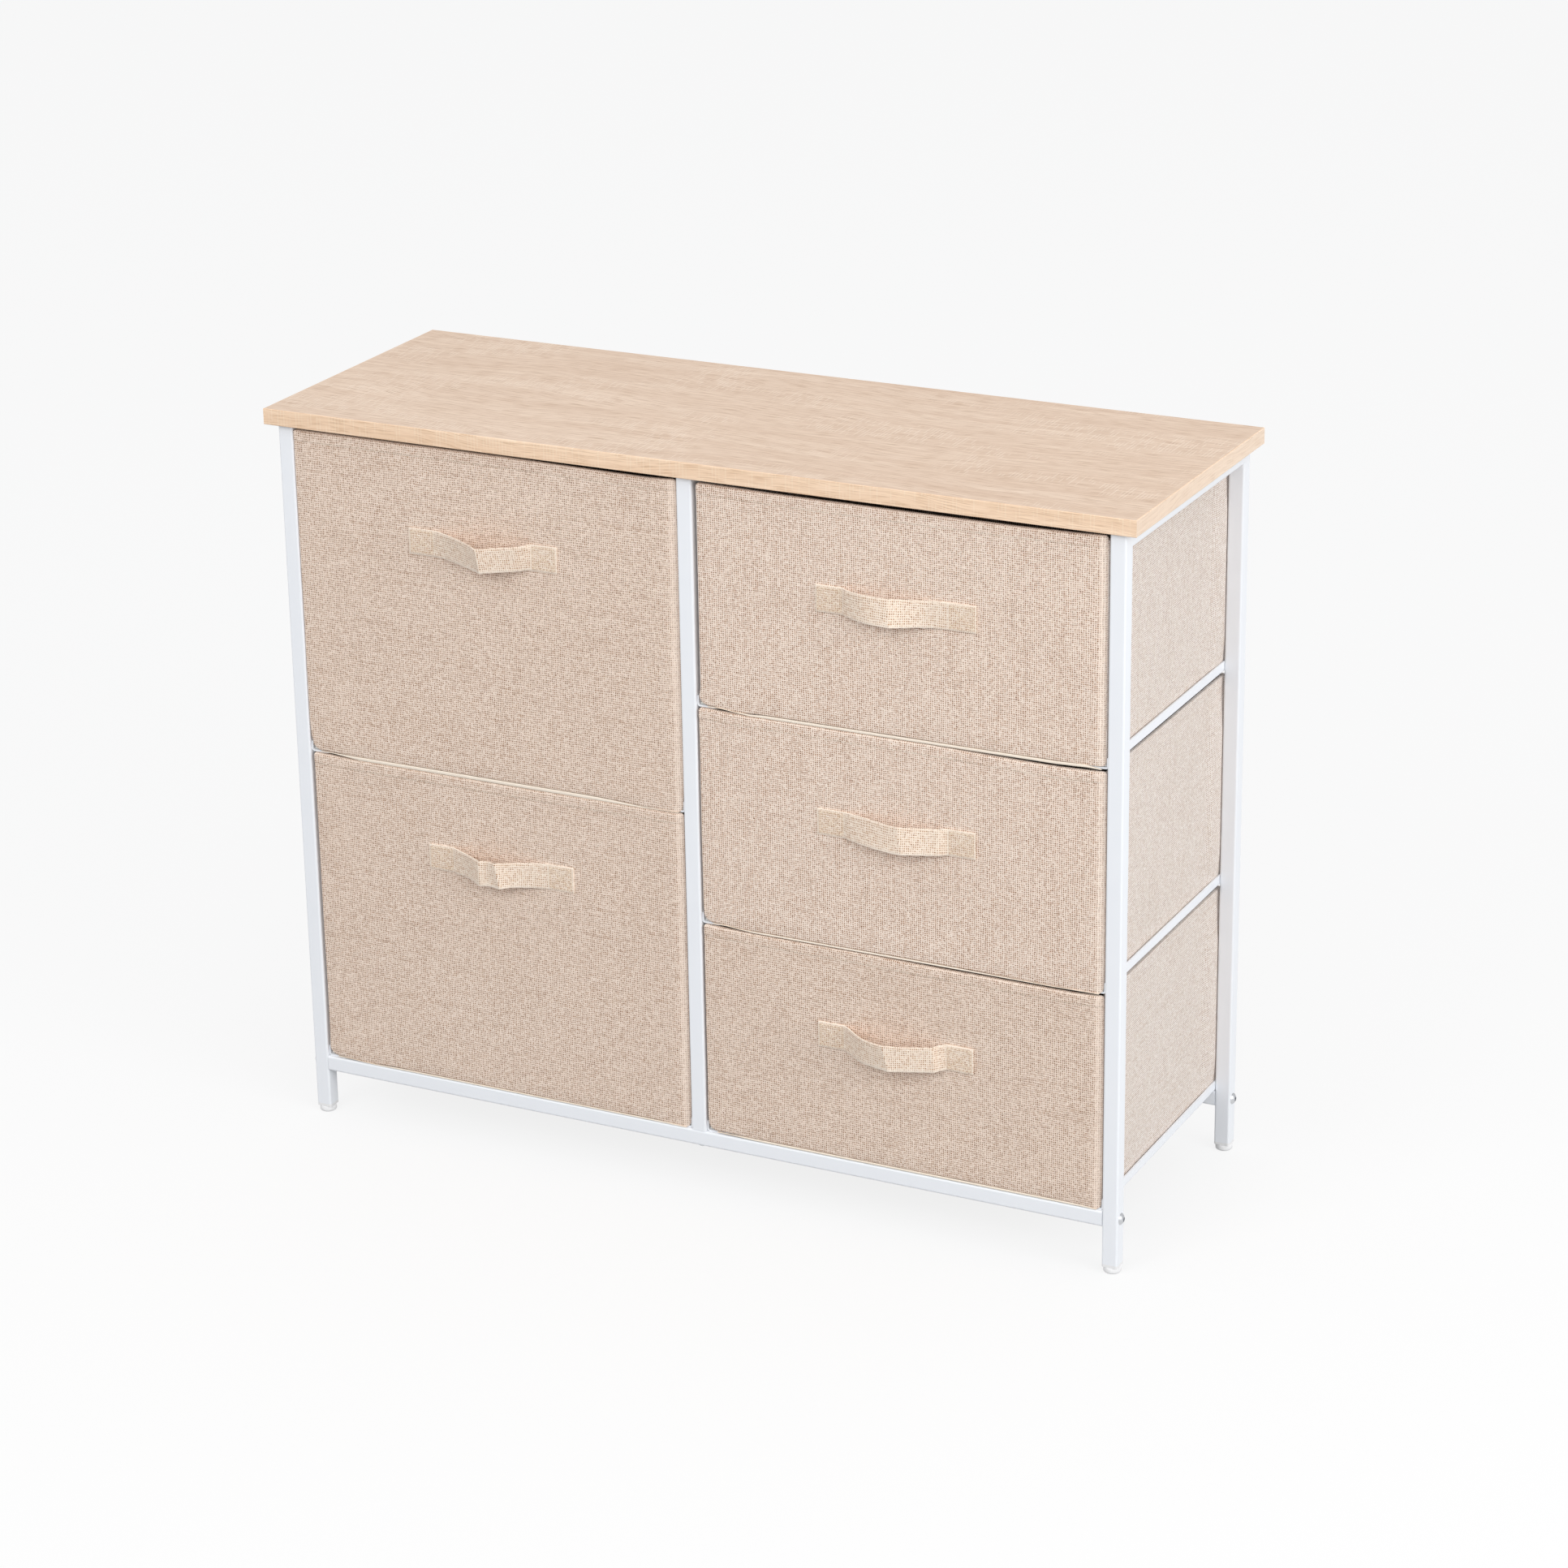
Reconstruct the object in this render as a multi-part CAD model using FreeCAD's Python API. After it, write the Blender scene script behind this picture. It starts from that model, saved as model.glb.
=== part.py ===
"""Fabric drawer dresser: a welded frame of square tube, a wood-effect top and fabric bins on angle runners.

Sizes are in millimetres. +X runs to the right as seen from the front, +Y to the back and +Z up.
The origin is on the floor, under the middle of the whole object's box, pull straps included.
"""
import FreeCAD
import Part
import math
import os
from collections import namedtuple

Vector = FreeCAD.Vector
Strap = namedtuple("Strap", "bow crease_offset crease_width")
Drawer = namedtuple("Drawer", "name left right low high strap")

# Wood-effect top
overall_height = 700.0
top_width = 850.0
top_depth = 300.0
top_thickness = 15.0
side_overhang = 11.0
front_overhang = 6.0
rear_overhang = 4.0
banding_thickness = 1.0
banding_edge_radius = 0.8

# Square tube of the frame
tube_size = 15.0
tube_wall = 1.2
tube_corner_radius = 2.0
cross_tube_floor_gap = 45.0

# Angle runners of folded sheet, welded to the legs and posts
runner_thickness = 1.5
runner_web_height = 10.0
runner_flange_width = 22.0
runner_bend_radius = 1.0
runner_corner_cut = 5.0
runner_end_setback = 3.0

# Levelling feet and the inserts that hold them
foot_pad_diameter = 16.0
foot_pad_height = 6.0
foot_edge_bevel = 1.6
foot_stem_diameter = 6.0
foot_stem_engagement = 14.0
foot_travel = 8.0
foot_seat_gap = 0.2
insert_rim_height = 2.5
insert_plug_length = 18.0
insert_plug_clearance = 0.1

# Frame bolts, the nuts that they turn into and the screws of the top
bolt_diameter = 6.0
bolt_head_diameter = 11.0
bolt_head_height = 3.3
bolt_socket_width = 4.0
bolt_socket_depth = 1.8
bolt_thread_clearance = 0.05
bolt_hole_clearance = 0.3
nut_length = 8.0
nut_side_clearance = 0.1
screw_diameter = 4.0
screw_head_diameter = 8.0
screw_head_height = 2.2
screw_end_distance = 60.0
screw_tip_cover = 5.0

# Fabric bins
drawer_front_setback = 0.5
drawer_rear_setback = 5.0
drawer_side_gap = 1.0
drawer_seat_gap = 0.3
drawer_head_gap = 2.7
top_drawer_spare_height = 4.0
front_panel_thickness = 4.0
front_panel_corner_radius = 6.0
front_panel_edge_bevel = 1.0
bin_wall_thickness = 3.0
bin_wall_drop = 2.0
floor_thickness = 2.5
floor_binding_reach = 0.5
floor_binding_radius = 1.1
base_board_thickness = 3.0
base_board_clearance = 1.5

# Pull straps: each one is sewn flat at both ends and stands out by its bow at its crease
strap_length = 152.0
strap_width = 24.5
strap_thickness = 1.5
strap_sewn_length = 27.0
strap_drop = 86.5
strap_bend_radius = 22.0
left_straps = {
    "lower_left": Strap(bow=20.0, crease_offset=-5.0, crease_width=18.0),
    "upper_left": Strap(bow=28.0, crease_offset=10.0, crease_width=6.0),
}
right_straps = {
    "lower_right": Strap(bow=26.0, crease_offset=3.0, crease_width=6.0),
    "middle_right": Strap(bow=15.5, crease_offset=10.0, crease_width=6.0),
    "upper_right": Strap(bow=14.5, crease_offset=-6.0, crease_width=14.0),
}

# Depths: the straps reach past the front edge of the top, and the whole box is centred on Y
deepest_bow = max(strap.bow for strap in [*left_straps.values(), *right_straps.values()])
strap_reach = max(0.0, deepest_bow + strap_thickness - drawer_front_setback - front_overhang)
top_back = (top_depth + strap_reach) / 2
top_front = top_back - top_depth
frame_front = top_front + front_overhang
frame_back = top_back - rear_overhang
drawer_front = frame_front + drawer_front_setback
drawer_back = frame_back - drawer_rear_setback

# Widths
frame_half_width = top_width / 2 - side_overhang
bay_outer = frame_half_width - tube_size
bay_inner = tube_size / 2

# Heights
leg_bottom = foot_pad_height + foot_seat_gap + insert_rim_height
top_underside = overall_height - top_thickness
cross_tube_low = cross_tube_floor_gap
cross_tube_high = cross_tube_floor_gap + tube_size
cross_tube_middle = cross_tube_floor_gap + tube_size / 2

# Bores and plugs inside the tube
tube_inside = tube_size - 2 * tube_wall
bolt_hole_radius = bolt_diameter / 2 + bolt_hole_clearance
nut_bore_radius = bolt_diameter / 2 + bolt_thread_clearance

# Roundings are limited to these shares of the thickness or run that they are cut from
one_rounding_share = 0.9
two_roundings_share = 0.45
banding_rounding = min(banding_edge_radius, one_rounding_share * banding_thickness)
binding_rounding = min(floor_binding_radius, two_roundings_share * floor_thickness)

# Directions, and how nearly an edge has to follow one to count as running along it
X_AXIS = Vector(1, 0, 0)
Y_AXIS = Vector(0, 1, 0)
Z_AXIS = Vector(0, 0, 1)
along_tolerance = 0.99
hexagon_sides = 6


def block(low, high):
    """Box between two opposite corners."""
    size = high - low
    return Part.makeBox(size.x, size.y, size.z, low)


def edges_along(shape, direction):
    """Straight edges of a shape that run along a direction."""
    def runs_along(edge):
        run = edge.Vertexes[-1].Point - edge.Vertexes[0].Point
        return abs(run.dot(direction)) > along_tolerance * edge.Length
    return [edge for edge in shape.Edges if runs_along(edge)]


def rounded_bar(low, high, direction, radius):
    """Bar with its four long edges rounded."""
    bar = block(low, high)
    return bar.makeFillet(radius, edges_along(bar, direction))


def square_tube(low, high, direction):
    """Hollow square tube with rounded outer edges, open at both ends."""
    wall = Vector(tube_wall, tube_wall, tube_wall)
    inset = wall - direction * tube_wall
    outside = rounded_bar(low, high, direction, tube_corner_radius)
    return outside.cut(block(low + inset, high - inset))


def mitre_wedge(x_left, corner_y, inward, removes_top):
    """Three-sided prism that cuts a 45 degree mitre at a top corner of a tube frame."""
    inner_y = corner_y + inward * tube_size
    inner_z = top_underside - tube_size
    third = Vector(x_left, inner_y, top_underside) if removes_top else Vector(x_left, corner_y, inner_z)
    corners = [Vector(x_left, corner_y, top_underside), Vector(x_left, inner_y, inner_z), third]
    face = Part.Face(Part.makePolygon([*corners, corners[0]]))
    return face.extrude(X_AXIS * tube_size)


def upright(x_left, y_front, bottom, corner_y, inward):
    """Leg or post: a tube that is mitred at the top towards its top rail."""
    low = Vector(x_left, y_front, bottom)
    high = Vector(x_left + tube_size, y_front + tube_size, top_underside)
    return square_tube(low, high, Z_AXIS).cut(mitre_wedge(x_left, corner_y, inward, True))


def front_upright(x_left, bottom):
    return upright(x_left, frame_front, bottom, frame_front, 1)


def rear_upright(x_left, bottom):
    return upright(x_left, frame_back - tube_size, bottom, frame_back, -1)


def screw_places(x_left):
    """Centres of the two top screws of a rail, on the underside of the top."""
    middle = x_left + tube_size / 2
    return [
        Vector(middle, frame_front + screw_end_distance, top_underside),
        Vector(middle, frame_back - screw_end_distance, top_underside),
    ]


def top_rail(x_left):
    """Rail under the top, mitred at both ends and drilled for its two screws."""
    low = Vector(x_left, frame_front, top_underside - tube_size)
    high = Vector(x_left + tube_size, frame_back, top_underside)
    rail = square_tube(low, high, Y_AXIS)
    rail = rail.cut(mitre_wedge(x_left, frame_front, 1, False))
    rail = rail.cut(mitre_wedge(x_left, frame_back, -1, False))
    radius = screw_diameter / 2 + bolt_hole_clearance
    for place in screw_places(x_left):
        rail = rail.cut(Part.makeCylinder(radius, tube_size, place - Z_AXIS * tube_size))
    return rail


def leg(x_left, is_front):
    """Outer leg, drilled from side to side for the bolt of its cross tube."""
    shape = front_upright(x_left, leg_bottom) if is_front else rear_upright(x_left, leg_bottom)
    start = Vector(x_left, tube_middle_y(is_front), cross_tube_middle)
    return shape.cut(Part.makeCylinder(bolt_hole_radius, tube_size, start, X_AXIS))


def tube_middle_y(is_front):
    """Middle of the front or rear row of tubes."""
    return frame_front + tube_size / 2 if is_front else frame_back - tube_size / 2


def cross_tube(is_front):
    """Low tube between two legs, drilled upwards for the bolt of the centre post."""
    front = tube_middle_y(is_front) - tube_size / 2
    low = Vector(-bay_outer, front, cross_tube_low)
    high = Vector(bay_outer, front + tube_size, cross_tube_high)
    start = Vector(0, tube_middle_y(is_front), cross_tube_low)
    return square_tube(low, high, X_AXIS).cut(Part.makeCylinder(bolt_hole_radius, tube_size, start))


def runner(x_face, bottom, inward):
    """Angle runner: the web lies on a tube's face and the flange points into the bay."""
    bend_end = runner_bend_radius + runner_thickness

    def at(across, up):
        return Vector(x_face + inward * across, frame_front + runner_end_setback, bottom + up)

    def bend(start, radius, end):
        middle = bend_end - radius * math.sqrt(0.5)
        return Part.Arc(at(*start), at(middle, middle), at(*end)).toShape()

    edges = [
        Part.makeLine(at(bend_end, 0), at(runner_flange_width, 0)),
        Part.makeLine(at(runner_flange_width, 0), at(runner_flange_width, runner_thickness)),
        Part.makeLine(at(runner_flange_width, runner_thickness), at(bend_end, runner_thickness)),
        bend((bend_end, runner_thickness), runner_bend_radius, (runner_thickness, bend_end)),
        Part.makeLine(at(runner_thickness, bend_end), at(runner_thickness, runner_web_height)),
        Part.makeLine(at(runner_thickness, runner_web_height), at(0, runner_web_height)),
        Part.makeLine(at(0, runner_web_height), at(0, bend_end)),
        bend((0, bend_end), bend_end, (bend_end, 0)),
    ]
    length = frame_back - frame_front - 2 * runner_end_setback
    profile = Part.Face(Part.Wire(edges))
    return profile.extrude(Y_AXIS * length).cut(runner_corner(x_face, bottom, inward))


def runner_corner(x_face, bottom, inward):
    """Triangle cut off the front inner corner of a runner's flange."""
    tip_x = x_face + inward * runner_flange_width
    front = frame_front + runner_end_setback
    corners = [
        Vector(tip_x, front, bottom),
        Vector(tip_x - inward * runner_corner_cut, front, bottom),
        Vector(tip_x, front + runner_corner_cut, bottom),
    ]
    return Part.Face(Part.makePolygon([*corners, corners[0]])).extrude(Z_AXIS * runner_thickness)


def leg_centres():
    """Middle of each leg on the floor, with the names of its side and end."""
    middle_x = frame_half_width - tube_size / 2
    for side, x in (("left", -middle_x), ("right", middle_x)):
        for end in ("front", "rear"):
            yield f"{side}_{end}", Vector(x, tube_middle_y(end == "front"), 0)


def foot_insert(centre):
    """Square plug in a leg's end, with a rim under the tube and a bore for the foot's stem."""
    rim_low = leg_bottom - insert_rim_height
    plug_top = leg_bottom + insert_plug_length
    plug_half = tube_inside / 2 - insert_plug_clearance
    rim = square_post(centre, tube_size / 2, rim_low, leg_bottom)
    rim = rim.makeFillet(tube_corner_radius, edges_along(rim, Z_AXIS))
    plug = square_post(centre, plug_half, leg_bottom, plug_top)
    bore_radius = foot_stem_diameter / 2 + bolt_thread_clearance
    bore = Part.makeCylinder(bore_radius, plug_top - rim_low, centre + Z_AXIS * rim_low)
    return rim.fuse(plug).cut(bore).removeSplitter()


def square_post(centre, half, bottom, top):
    """Upright square bar round a centre line."""
    corner = Vector(half, half, 0)
    return block(centre - corner + Z_AXIS * bottom, centre + corner + Z_AXIS * top)


def levelling_foot(centre):
    """Round pad with a bevelled lower edge, on a screw stem."""
    pad = Part.makeCylinder(foot_pad_diameter / 2, foot_pad_height, centre)
    lower_edge = [edge for edge in pad.Edges if edge.BoundBox.ZMax < foot_pad_height / 2]
    pad = pad.makeChamfer(foot_edge_bevel, lower_edge)
    stem_length = foot_travel + foot_stem_engagement + insert_rim_height
    stem = Part.makeCylinder(foot_stem_diameter / 2, stem_length, centre + Z_AXIS * foot_pad_height)
    return pad.fuse(stem).removeSplitter()


def button_bolt(seat, direction, grip):
    """Domed bolt with a hexagon socket: the head is on its seat and the shank runs along the direction."""
    head_radius = bolt_head_diameter / 2
    dome_radius = (head_radius ** 2 + bolt_head_height ** 2) / (2 * bolt_head_height)
    dome_centre = seat - direction * (bolt_head_height - dome_radius)
    dome = Part.makeSphere(dome_radius, dome_centre)
    head = dome.common(Part.makeCylinder(head_radius, bolt_head_height, seat, direction * -1))
    crown = seat - direction * bolt_head_height
    head = head.cut(hexagon_prism(crown, direction, bolt_socket_width, bolt_socket_depth))
    shank = Part.makeCylinder(bolt_diameter / 2, grip + nut_length, seat, direction)
    return head.fuse(shank).removeSplitter()


def hexagon_prism(start, direction, width, depth):
    """Six-sided prism, measured across its flats."""
    placement = FreeCAD.Placement(start, FreeCAD.Rotation(Z_AXIS, direction))
    radius = width / 2 / math.cos(math.pi / hexagon_sides)
    turns = [2 * math.pi * side / hexagon_sides for side in range(hexagon_sides)]
    corners = [Vector(radius * math.cos(turn), radius * math.sin(turn), 0) for turn in turns]
    prism = Part.Face(Part.makePolygon([*corners, corners[0]])).extrude(Z_AXIS * depth)
    return prism.transformGeometry(placement.toMatrix())


def tube_nut(centre, direction):
    """Threaded plug, pressed into a tube's end with its outer face level with the end."""
    half = tube_inside / 2 - nut_side_clearance
    plug = square_post(Vector(0, 0, 0), half, 0, nut_length)
    plug = plug.cut(Part.makeCylinder(nut_bore_radius, nut_length))
    plug.Placement = FreeCAD.Placement(centre, FreeCAD.Rotation(Z_AXIS, direction))
    return plug


def top_screw(place):
    """Screw up through a top rail into the board, with its head under the rail."""
    seat = place - Z_AXIS * tube_size
    shank_length = tube_size + top_thickness - screw_tip_cover
    head = Part.makeCylinder(screw_head_diameter / 2, screw_head_height, seat - Z_AXIS * screw_head_height)
    shank = Part.makeCylinder(screw_diameter / 2, shank_length, seat)
    return head.fuse(shank).removeSplitter()


def top_panel(screws):
    """Board of the top inside its edge banding, with pilot holes for the screws."""
    half_width = top_width / 2 - banding_thickness
    low = Vector(-half_width, top_front + banding_thickness, top_underside)
    high = Vector(half_width, top_back - banding_thickness, overall_height)
    board = block(low, high)
    pilot_radius = screw_diameter / 2 + bolt_thread_clearance
    for place in screws:
        board = board.cut(Part.makeCylinder(pilot_radius, top_thickness - screw_tip_cover, place))
    return board


def banding_strip(low, high, direction, outward):
    """Strip of edge banding with its two outer long edges softened."""
    strip = block(low, high)
    middle = strip.CenterOfMass
    outer = [edge for edge in edges_along(strip, direction) if (edge.CenterOfMass - middle).dot(outward) > 0]
    return strip.makeFillet(banding_rounding, outer)


def edge_banding():
    """Front and rear strips over the full width, side strips between them."""
    edge_x = top_width / 2
    inner_x = edge_x - banding_thickness
    inner_front = top_front + banding_thickness
    inner_back = top_back - banding_thickness

    def strip(left, right, front, back, direction, outward):
        low = Vector(left, front, top_underside)
        high = Vector(right, back, overall_height)
        return banding_strip(low, high, direction, outward)

    return Part.makeCompound([
        strip(-edge_x, edge_x, top_front, inner_front, X_AXIS, Y_AXIS * -1),
        strip(-edge_x, edge_x, inner_back, top_back, X_AXIS, Y_AXIS),
        strip(-edge_x, -inner_x, inner_front, inner_back, Y_AXIS, X_AXIS * -1),
        strip(inner_x, edge_x, inner_front, inner_back, Y_AXIS, X_AXIS),
    ])


def runner_levels(count):
    """Undersides of a column's runners, from the bottom up."""
    pitch = level_pitch(count)
    return [cross_tube_high + level * pitch for level in range(count)]


def level_pitch(count):
    """Height from one runner of a column to the next."""
    return (top_underside - cross_tube_high - top_drawer_spare_height) / count


def drawers_of(straps, bay_left, bay_right):
    """The drawers of one column, sized to their bay and to the height between runners."""
    side = runner_thickness + drawer_side_gap
    pitch = level_pitch(len(straps))
    for level, (name, strap) in zip(runner_levels(len(straps)), straps.items()):
        low = level + runner_thickness + drawer_seat_gap
        high = level + pitch - drawer_head_gap
        yield Drawer(name, bay_left + side, bay_right - side, low, high, strap)


def front_panel(drawer):
    """Stiff fabric-covered front with rounded corners and bevelled front edges."""
    low = Vector(drawer.left, drawer_front, drawer.low + floor_thickness)
    high = Vector(drawer.right, drawer_front + front_panel_thickness, drawer.high)
    panel = rounded_bar(low, high, Y_AXIS, front_panel_corner_radius)
    middle = drawer_front + front_panel_thickness / 2
    front_edges = [edge for edge in panel.Edges if edge.BoundBox.YMax < middle]
    return panel.makeChamfer(front_panel_edge_bevel, front_edges)


def bin_walls(drawer):
    """Left, right and rear walls of a bin."""
    front = drawer_front + front_panel_thickness
    inner_back = drawer_back - bin_wall_thickness
    low = drawer.low + floor_thickness
    high = drawer.high - bin_wall_drop
    return Part.makeCompound([
        block(Vector(drawer.left, front, low), Vector(drawer.left + bin_wall_thickness, inner_back, high)),
        block(Vector(drawer.right - bin_wall_thickness, front, low), Vector(drawer.right, inner_back, high)),
        block(Vector(drawer.left, inner_back, low), Vector(drawer.right, drawer_back, high)),
    ])


def fabric_floor(drawer):
    """Sewn floor under the walls, whose bound front edge stands a little proud of the front."""
    low = Vector(drawer.left, drawer_front - floor_binding_reach, drawer.low)
    high = Vector(drawer.right, drawer_back, drawer.low + floor_thickness)
    floor = block(low, high)
    front_edges = [edge for edge in edges_along(floor, X_AXIS) if edge.CenterOfMass.y < drawer_front]
    return floor.makeFillet(binding_rounding, front_edges)


def base_board(drawer):
    """Loose stiffening board on the floor of a bin."""
    side = bin_wall_thickness + base_board_clearance
    low_z = drawer.low + floor_thickness
    low = Vector(drawer.left + side, drawer_front + front_panel_thickness + base_board_clearance, low_z)
    high = Vector(drawer.right - side, drawer_back - side, low_z + base_board_thickness)
    return block(low, high)


def rounded_path(points, radius):
    """Straight runs through points, joined by tangent arcs of a radius that short runs make smaller."""
    edges = []
    start = points[0]
    for before, corner, after in zip(points, points[1:], points[2:]):
        back = before - corner
        ahead = after - corner
        longest_tangent = two_roundings_share * min(back.Length, ahead.Length)
        back.normalize()
        ahead.normalize()
        half_angle = back.getAngle(ahead) / 2
        tangent = min(longest_tangent, radius / math.tan(half_angle))
        inwards = (back + ahead).normalize()
        arc_middle = corner + inwards * (tangent / math.cos(half_angle) * (1 - math.sin(half_angle)))
        arc_start = corner + back * tangent
        arc_end = corner + ahead * tangent
        edges.append(Part.makeLine(start, arc_start))
        edges.append(Part.Arc(arc_start, arc_middle, arc_end).toShape())
        start = arc_end
    edges.append(Part.makeLine(start, points[-1]))
    return Part.Wire(edges)


def pull_strap(drawer):
    """Webbing strap, sewn flat to the front at both ends and bowed out between them."""
    strap = drawer.strap
    middle = (drawer.left + drawer.right) / 2
    low_z = drawer.high - strap_drop - strap_width / 2
    left_end = middle - strap_length / 2
    right_end = middle + strap_length / 2
    crease = middle + strap.crease_offset
    crest = drawer_front - strap.bow
    points = [
        Vector(left_end, drawer_front, low_z),
        Vector(left_end + strap_sewn_length, drawer_front, low_z),
        Vector(crease - strap.crease_width / 2, crest, low_z),
        Vector(crease + strap.crease_width / 2, crest, low_z),
        Vector(right_end - strap_sewn_length, drawer_front, low_z),
        Vector(right_end, drawer_front, low_z),
    ]
    inner_line = rounded_path(points, strap_bend_radius)
    section = inner_line.makeOffset2D(strap_thickness, fill=True, openResult=True)
    return section.extrude(Z_AXIS * strap_width)


def frame_nodes():
    """Tubes and runners of the frame."""
    nodes = {}
    for side, x_left in (("left", -frame_half_width), ("right", bay_outer)):
        nodes[f"{side}_front_leg"] = leg(x_left, True)
        nodes[f"{side}_rear_leg"] = leg(x_left, False)
        nodes[f"{side}_top_rail"] = top_rail(x_left)
    nodes["centre_front_post"] = front_upright(-bay_inner, cross_tube_high)
    nodes["centre_rear_post"] = rear_upright(-bay_inner, cross_tube_high)
    nodes["centre_top_rail"] = top_rail(-bay_inner)
    nodes["front_cross_tube"] = cross_tube(True)
    nodes["rear_cross_tube"] = cross_tube(False)
    for names, faces in (
        (left_straps, (("left", -bay_outer, 1), ("centre_left", -bay_inner, -1))),
        (right_straps, (("centre_right", bay_inner, 1), ("right", bay_outer, -1))),
    ):
        for name, level in zip(names, runner_levels(len(names))):
            height_name = name.split("_")[0]
            for face_name, x_face, inward in faces:
                nodes[f"{face_name}_{height_name}_runner"] = runner(x_face, level, inward)
    return nodes


def fastener_nodes():
    """Bolts, nuts, screws and leg inserts, each kind as one group."""
    frame_bolts, tube_nuts, post_bolts, post_nuts = [], [], [], []
    for is_front in (True, False):
        row = tube_middle_y(is_front)
        for side in (-1, 1):
            seat = Vector(side * frame_half_width, row, cross_tube_middle)
            frame_bolts.append(button_bolt(seat, X_AXIS * -side, tube_size))
            tube_nuts.append(tube_nut(Vector(side * bay_outer, row, cross_tube_middle), X_AXIS * -side))
        post_bolts.append(button_bolt(Vector(0, row, cross_tube_low), Z_AXIS, tube_size))
        post_nuts.append(tube_nut(Vector(0, row, cross_tube_high), Z_AXIS))
    return {
        "frame_bolts": Part.makeCompound(frame_bolts),
        "tube_end_nuts": Part.makeCompound(tube_nuts),
        "post_bolts": Part.makeCompound(post_bolts),
        "post_end_nuts": Part.makeCompound(post_nuts),
        "foot_inserts": Part.makeCompound([foot_insert(centre) for _, centre in leg_centres()]),
    }


def top_nodes():
    """Board, banding and the screws that hold the board on the three top rails."""
    screws = []
    for x_left in (-frame_half_width, -bay_inner, bay_outer):
        screws += screw_places(x_left)
    return {
        "top_panel": top_panel(screws),
        "edge_banding": edge_banding(),
        "top_screws": Part.makeCompound([top_screw(place) for place in screws]),
    }


def foot_nodes():
    """The four levelling feet."""
    return {f"{name}_foot": levelling_foot(centre) for name, centre in leg_centres()}


def all_drawers():
    """Every drawer, the left column first."""
    return [*drawers_of(left_straps, -bay_outer, -bay_inner), *drawers_of(right_straps, bay_inner, bay_outer)]


def drawer_nodes():
    """The pieces of every drawer."""
    nodes = {}
    for drawer in all_drawers():
        nodes[f"{drawer.name}_front_panel"] = front_panel(drawer)
        nodes[f"{drawer.name}_bin_walls"] = bin_walls(drawer)
        nodes[f"{drawer.name}_fabric_floor"] = fabric_floor(drawer)
        nodes[f"{drawer.name}_base_board"] = base_board(drawer)
        nodes[f"{drawer.name}_pull_strap"] = pull_strap(drawer)
    return nodes


os.makedirs("parts", exist_ok=True)
for group in (frame_nodes(), fastener_nodes(), top_nodes(), foot_nodes(), drawer_nodes()):
    for node, shape in group.items():
        shape.exportStep(f"parts/{node}.step")
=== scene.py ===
import bmesh
import bpy
import math
from collections import namedtuple
from contextlib import contextmanager
from mathutils import Matrix, Vector, noise


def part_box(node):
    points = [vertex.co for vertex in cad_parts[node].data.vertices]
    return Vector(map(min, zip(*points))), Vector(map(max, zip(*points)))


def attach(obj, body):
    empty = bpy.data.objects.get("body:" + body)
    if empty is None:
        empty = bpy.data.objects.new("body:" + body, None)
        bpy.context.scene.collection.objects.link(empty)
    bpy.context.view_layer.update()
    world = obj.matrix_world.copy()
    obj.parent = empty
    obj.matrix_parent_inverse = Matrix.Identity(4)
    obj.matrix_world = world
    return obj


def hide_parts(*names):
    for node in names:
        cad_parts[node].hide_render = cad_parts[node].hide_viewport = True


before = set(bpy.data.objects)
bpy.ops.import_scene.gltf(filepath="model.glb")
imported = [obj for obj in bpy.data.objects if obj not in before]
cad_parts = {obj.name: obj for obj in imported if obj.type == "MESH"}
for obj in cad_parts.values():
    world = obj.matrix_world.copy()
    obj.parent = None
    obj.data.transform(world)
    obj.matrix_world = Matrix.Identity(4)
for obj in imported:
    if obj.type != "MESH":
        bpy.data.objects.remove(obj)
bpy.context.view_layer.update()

# Sizes are in metres, and a size that isn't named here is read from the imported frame.
MM = 0.001
X_AXIS = Vector((1, 0, 0))
Y_AXIS = Vector((0, 1, 0))
Z_AXIS = Vector((0, 0, 1))

# Two places closer than the first are the same, two directions whose cosine is above the second are
# parallel, and a face looks along an axis if more than the third of its normal does.
same_place = 0.01 * MM
parallel = 0.99
mostly = 0.5

# Fabric fronts: rounded corners, a turned-over hem and a soft, slightly uneven face
lower_left_corner = 9 * MM
upper_left_corner = 2.5 * MM
right_corners = 3 * MM
corner_segments = 6
front_edge_rounding = 2 * MM
rounding_segments = 4
hem_depth = 9 * MM
hem_rise = 0.5 * MM
hem_step = 0.7 * MM
cloth_pitch = 14 * MM
face_unevenness = 0.7 * MM
unevenness_size = 70 * MM
edge_unevenness = 0.15 * MM
hang_reach = 28 * MM
crown_reach = 56 * MM
lean_share = 0.05
lean_start = 9.8 * MM
lean_full = 16.8 * MM
edge_turn = 7 * MM
edge_turn_depth = 2.4 * MM
turn_start = 0.75
lip_depth = 0.8 * MM
lip_end = 1.1 * MM
lip_rounding = 0.6 * MM

# Bins behind the fronts
wall_thickness = 2.6 * MM
wall_corner_rounding = 1.5 * MM
wall_bow = 0.6 * MM
rear_belly = 2.2 * MM
rear_belly_start = 42 * MM
rear_belly_full = 28 * MM
rear_belly_end = 8.4 * MM
rear_belly_pitch = 5 * MM
wall_hem_rise = 0.25 * MM
floor_thickness = 2.2 * MM
floor_pitch = 20 * MM
runner_share = 0.052
runner_clear_share = 0.0416
hanging_share = 0.095
runner_shows = 0.8 * MM
binding_rounding = 0.8 * MM
binding_least_height = 0.3 * MM
binding_proud = 0.4 * MM
binding_depth = 1.6 * MM

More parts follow.
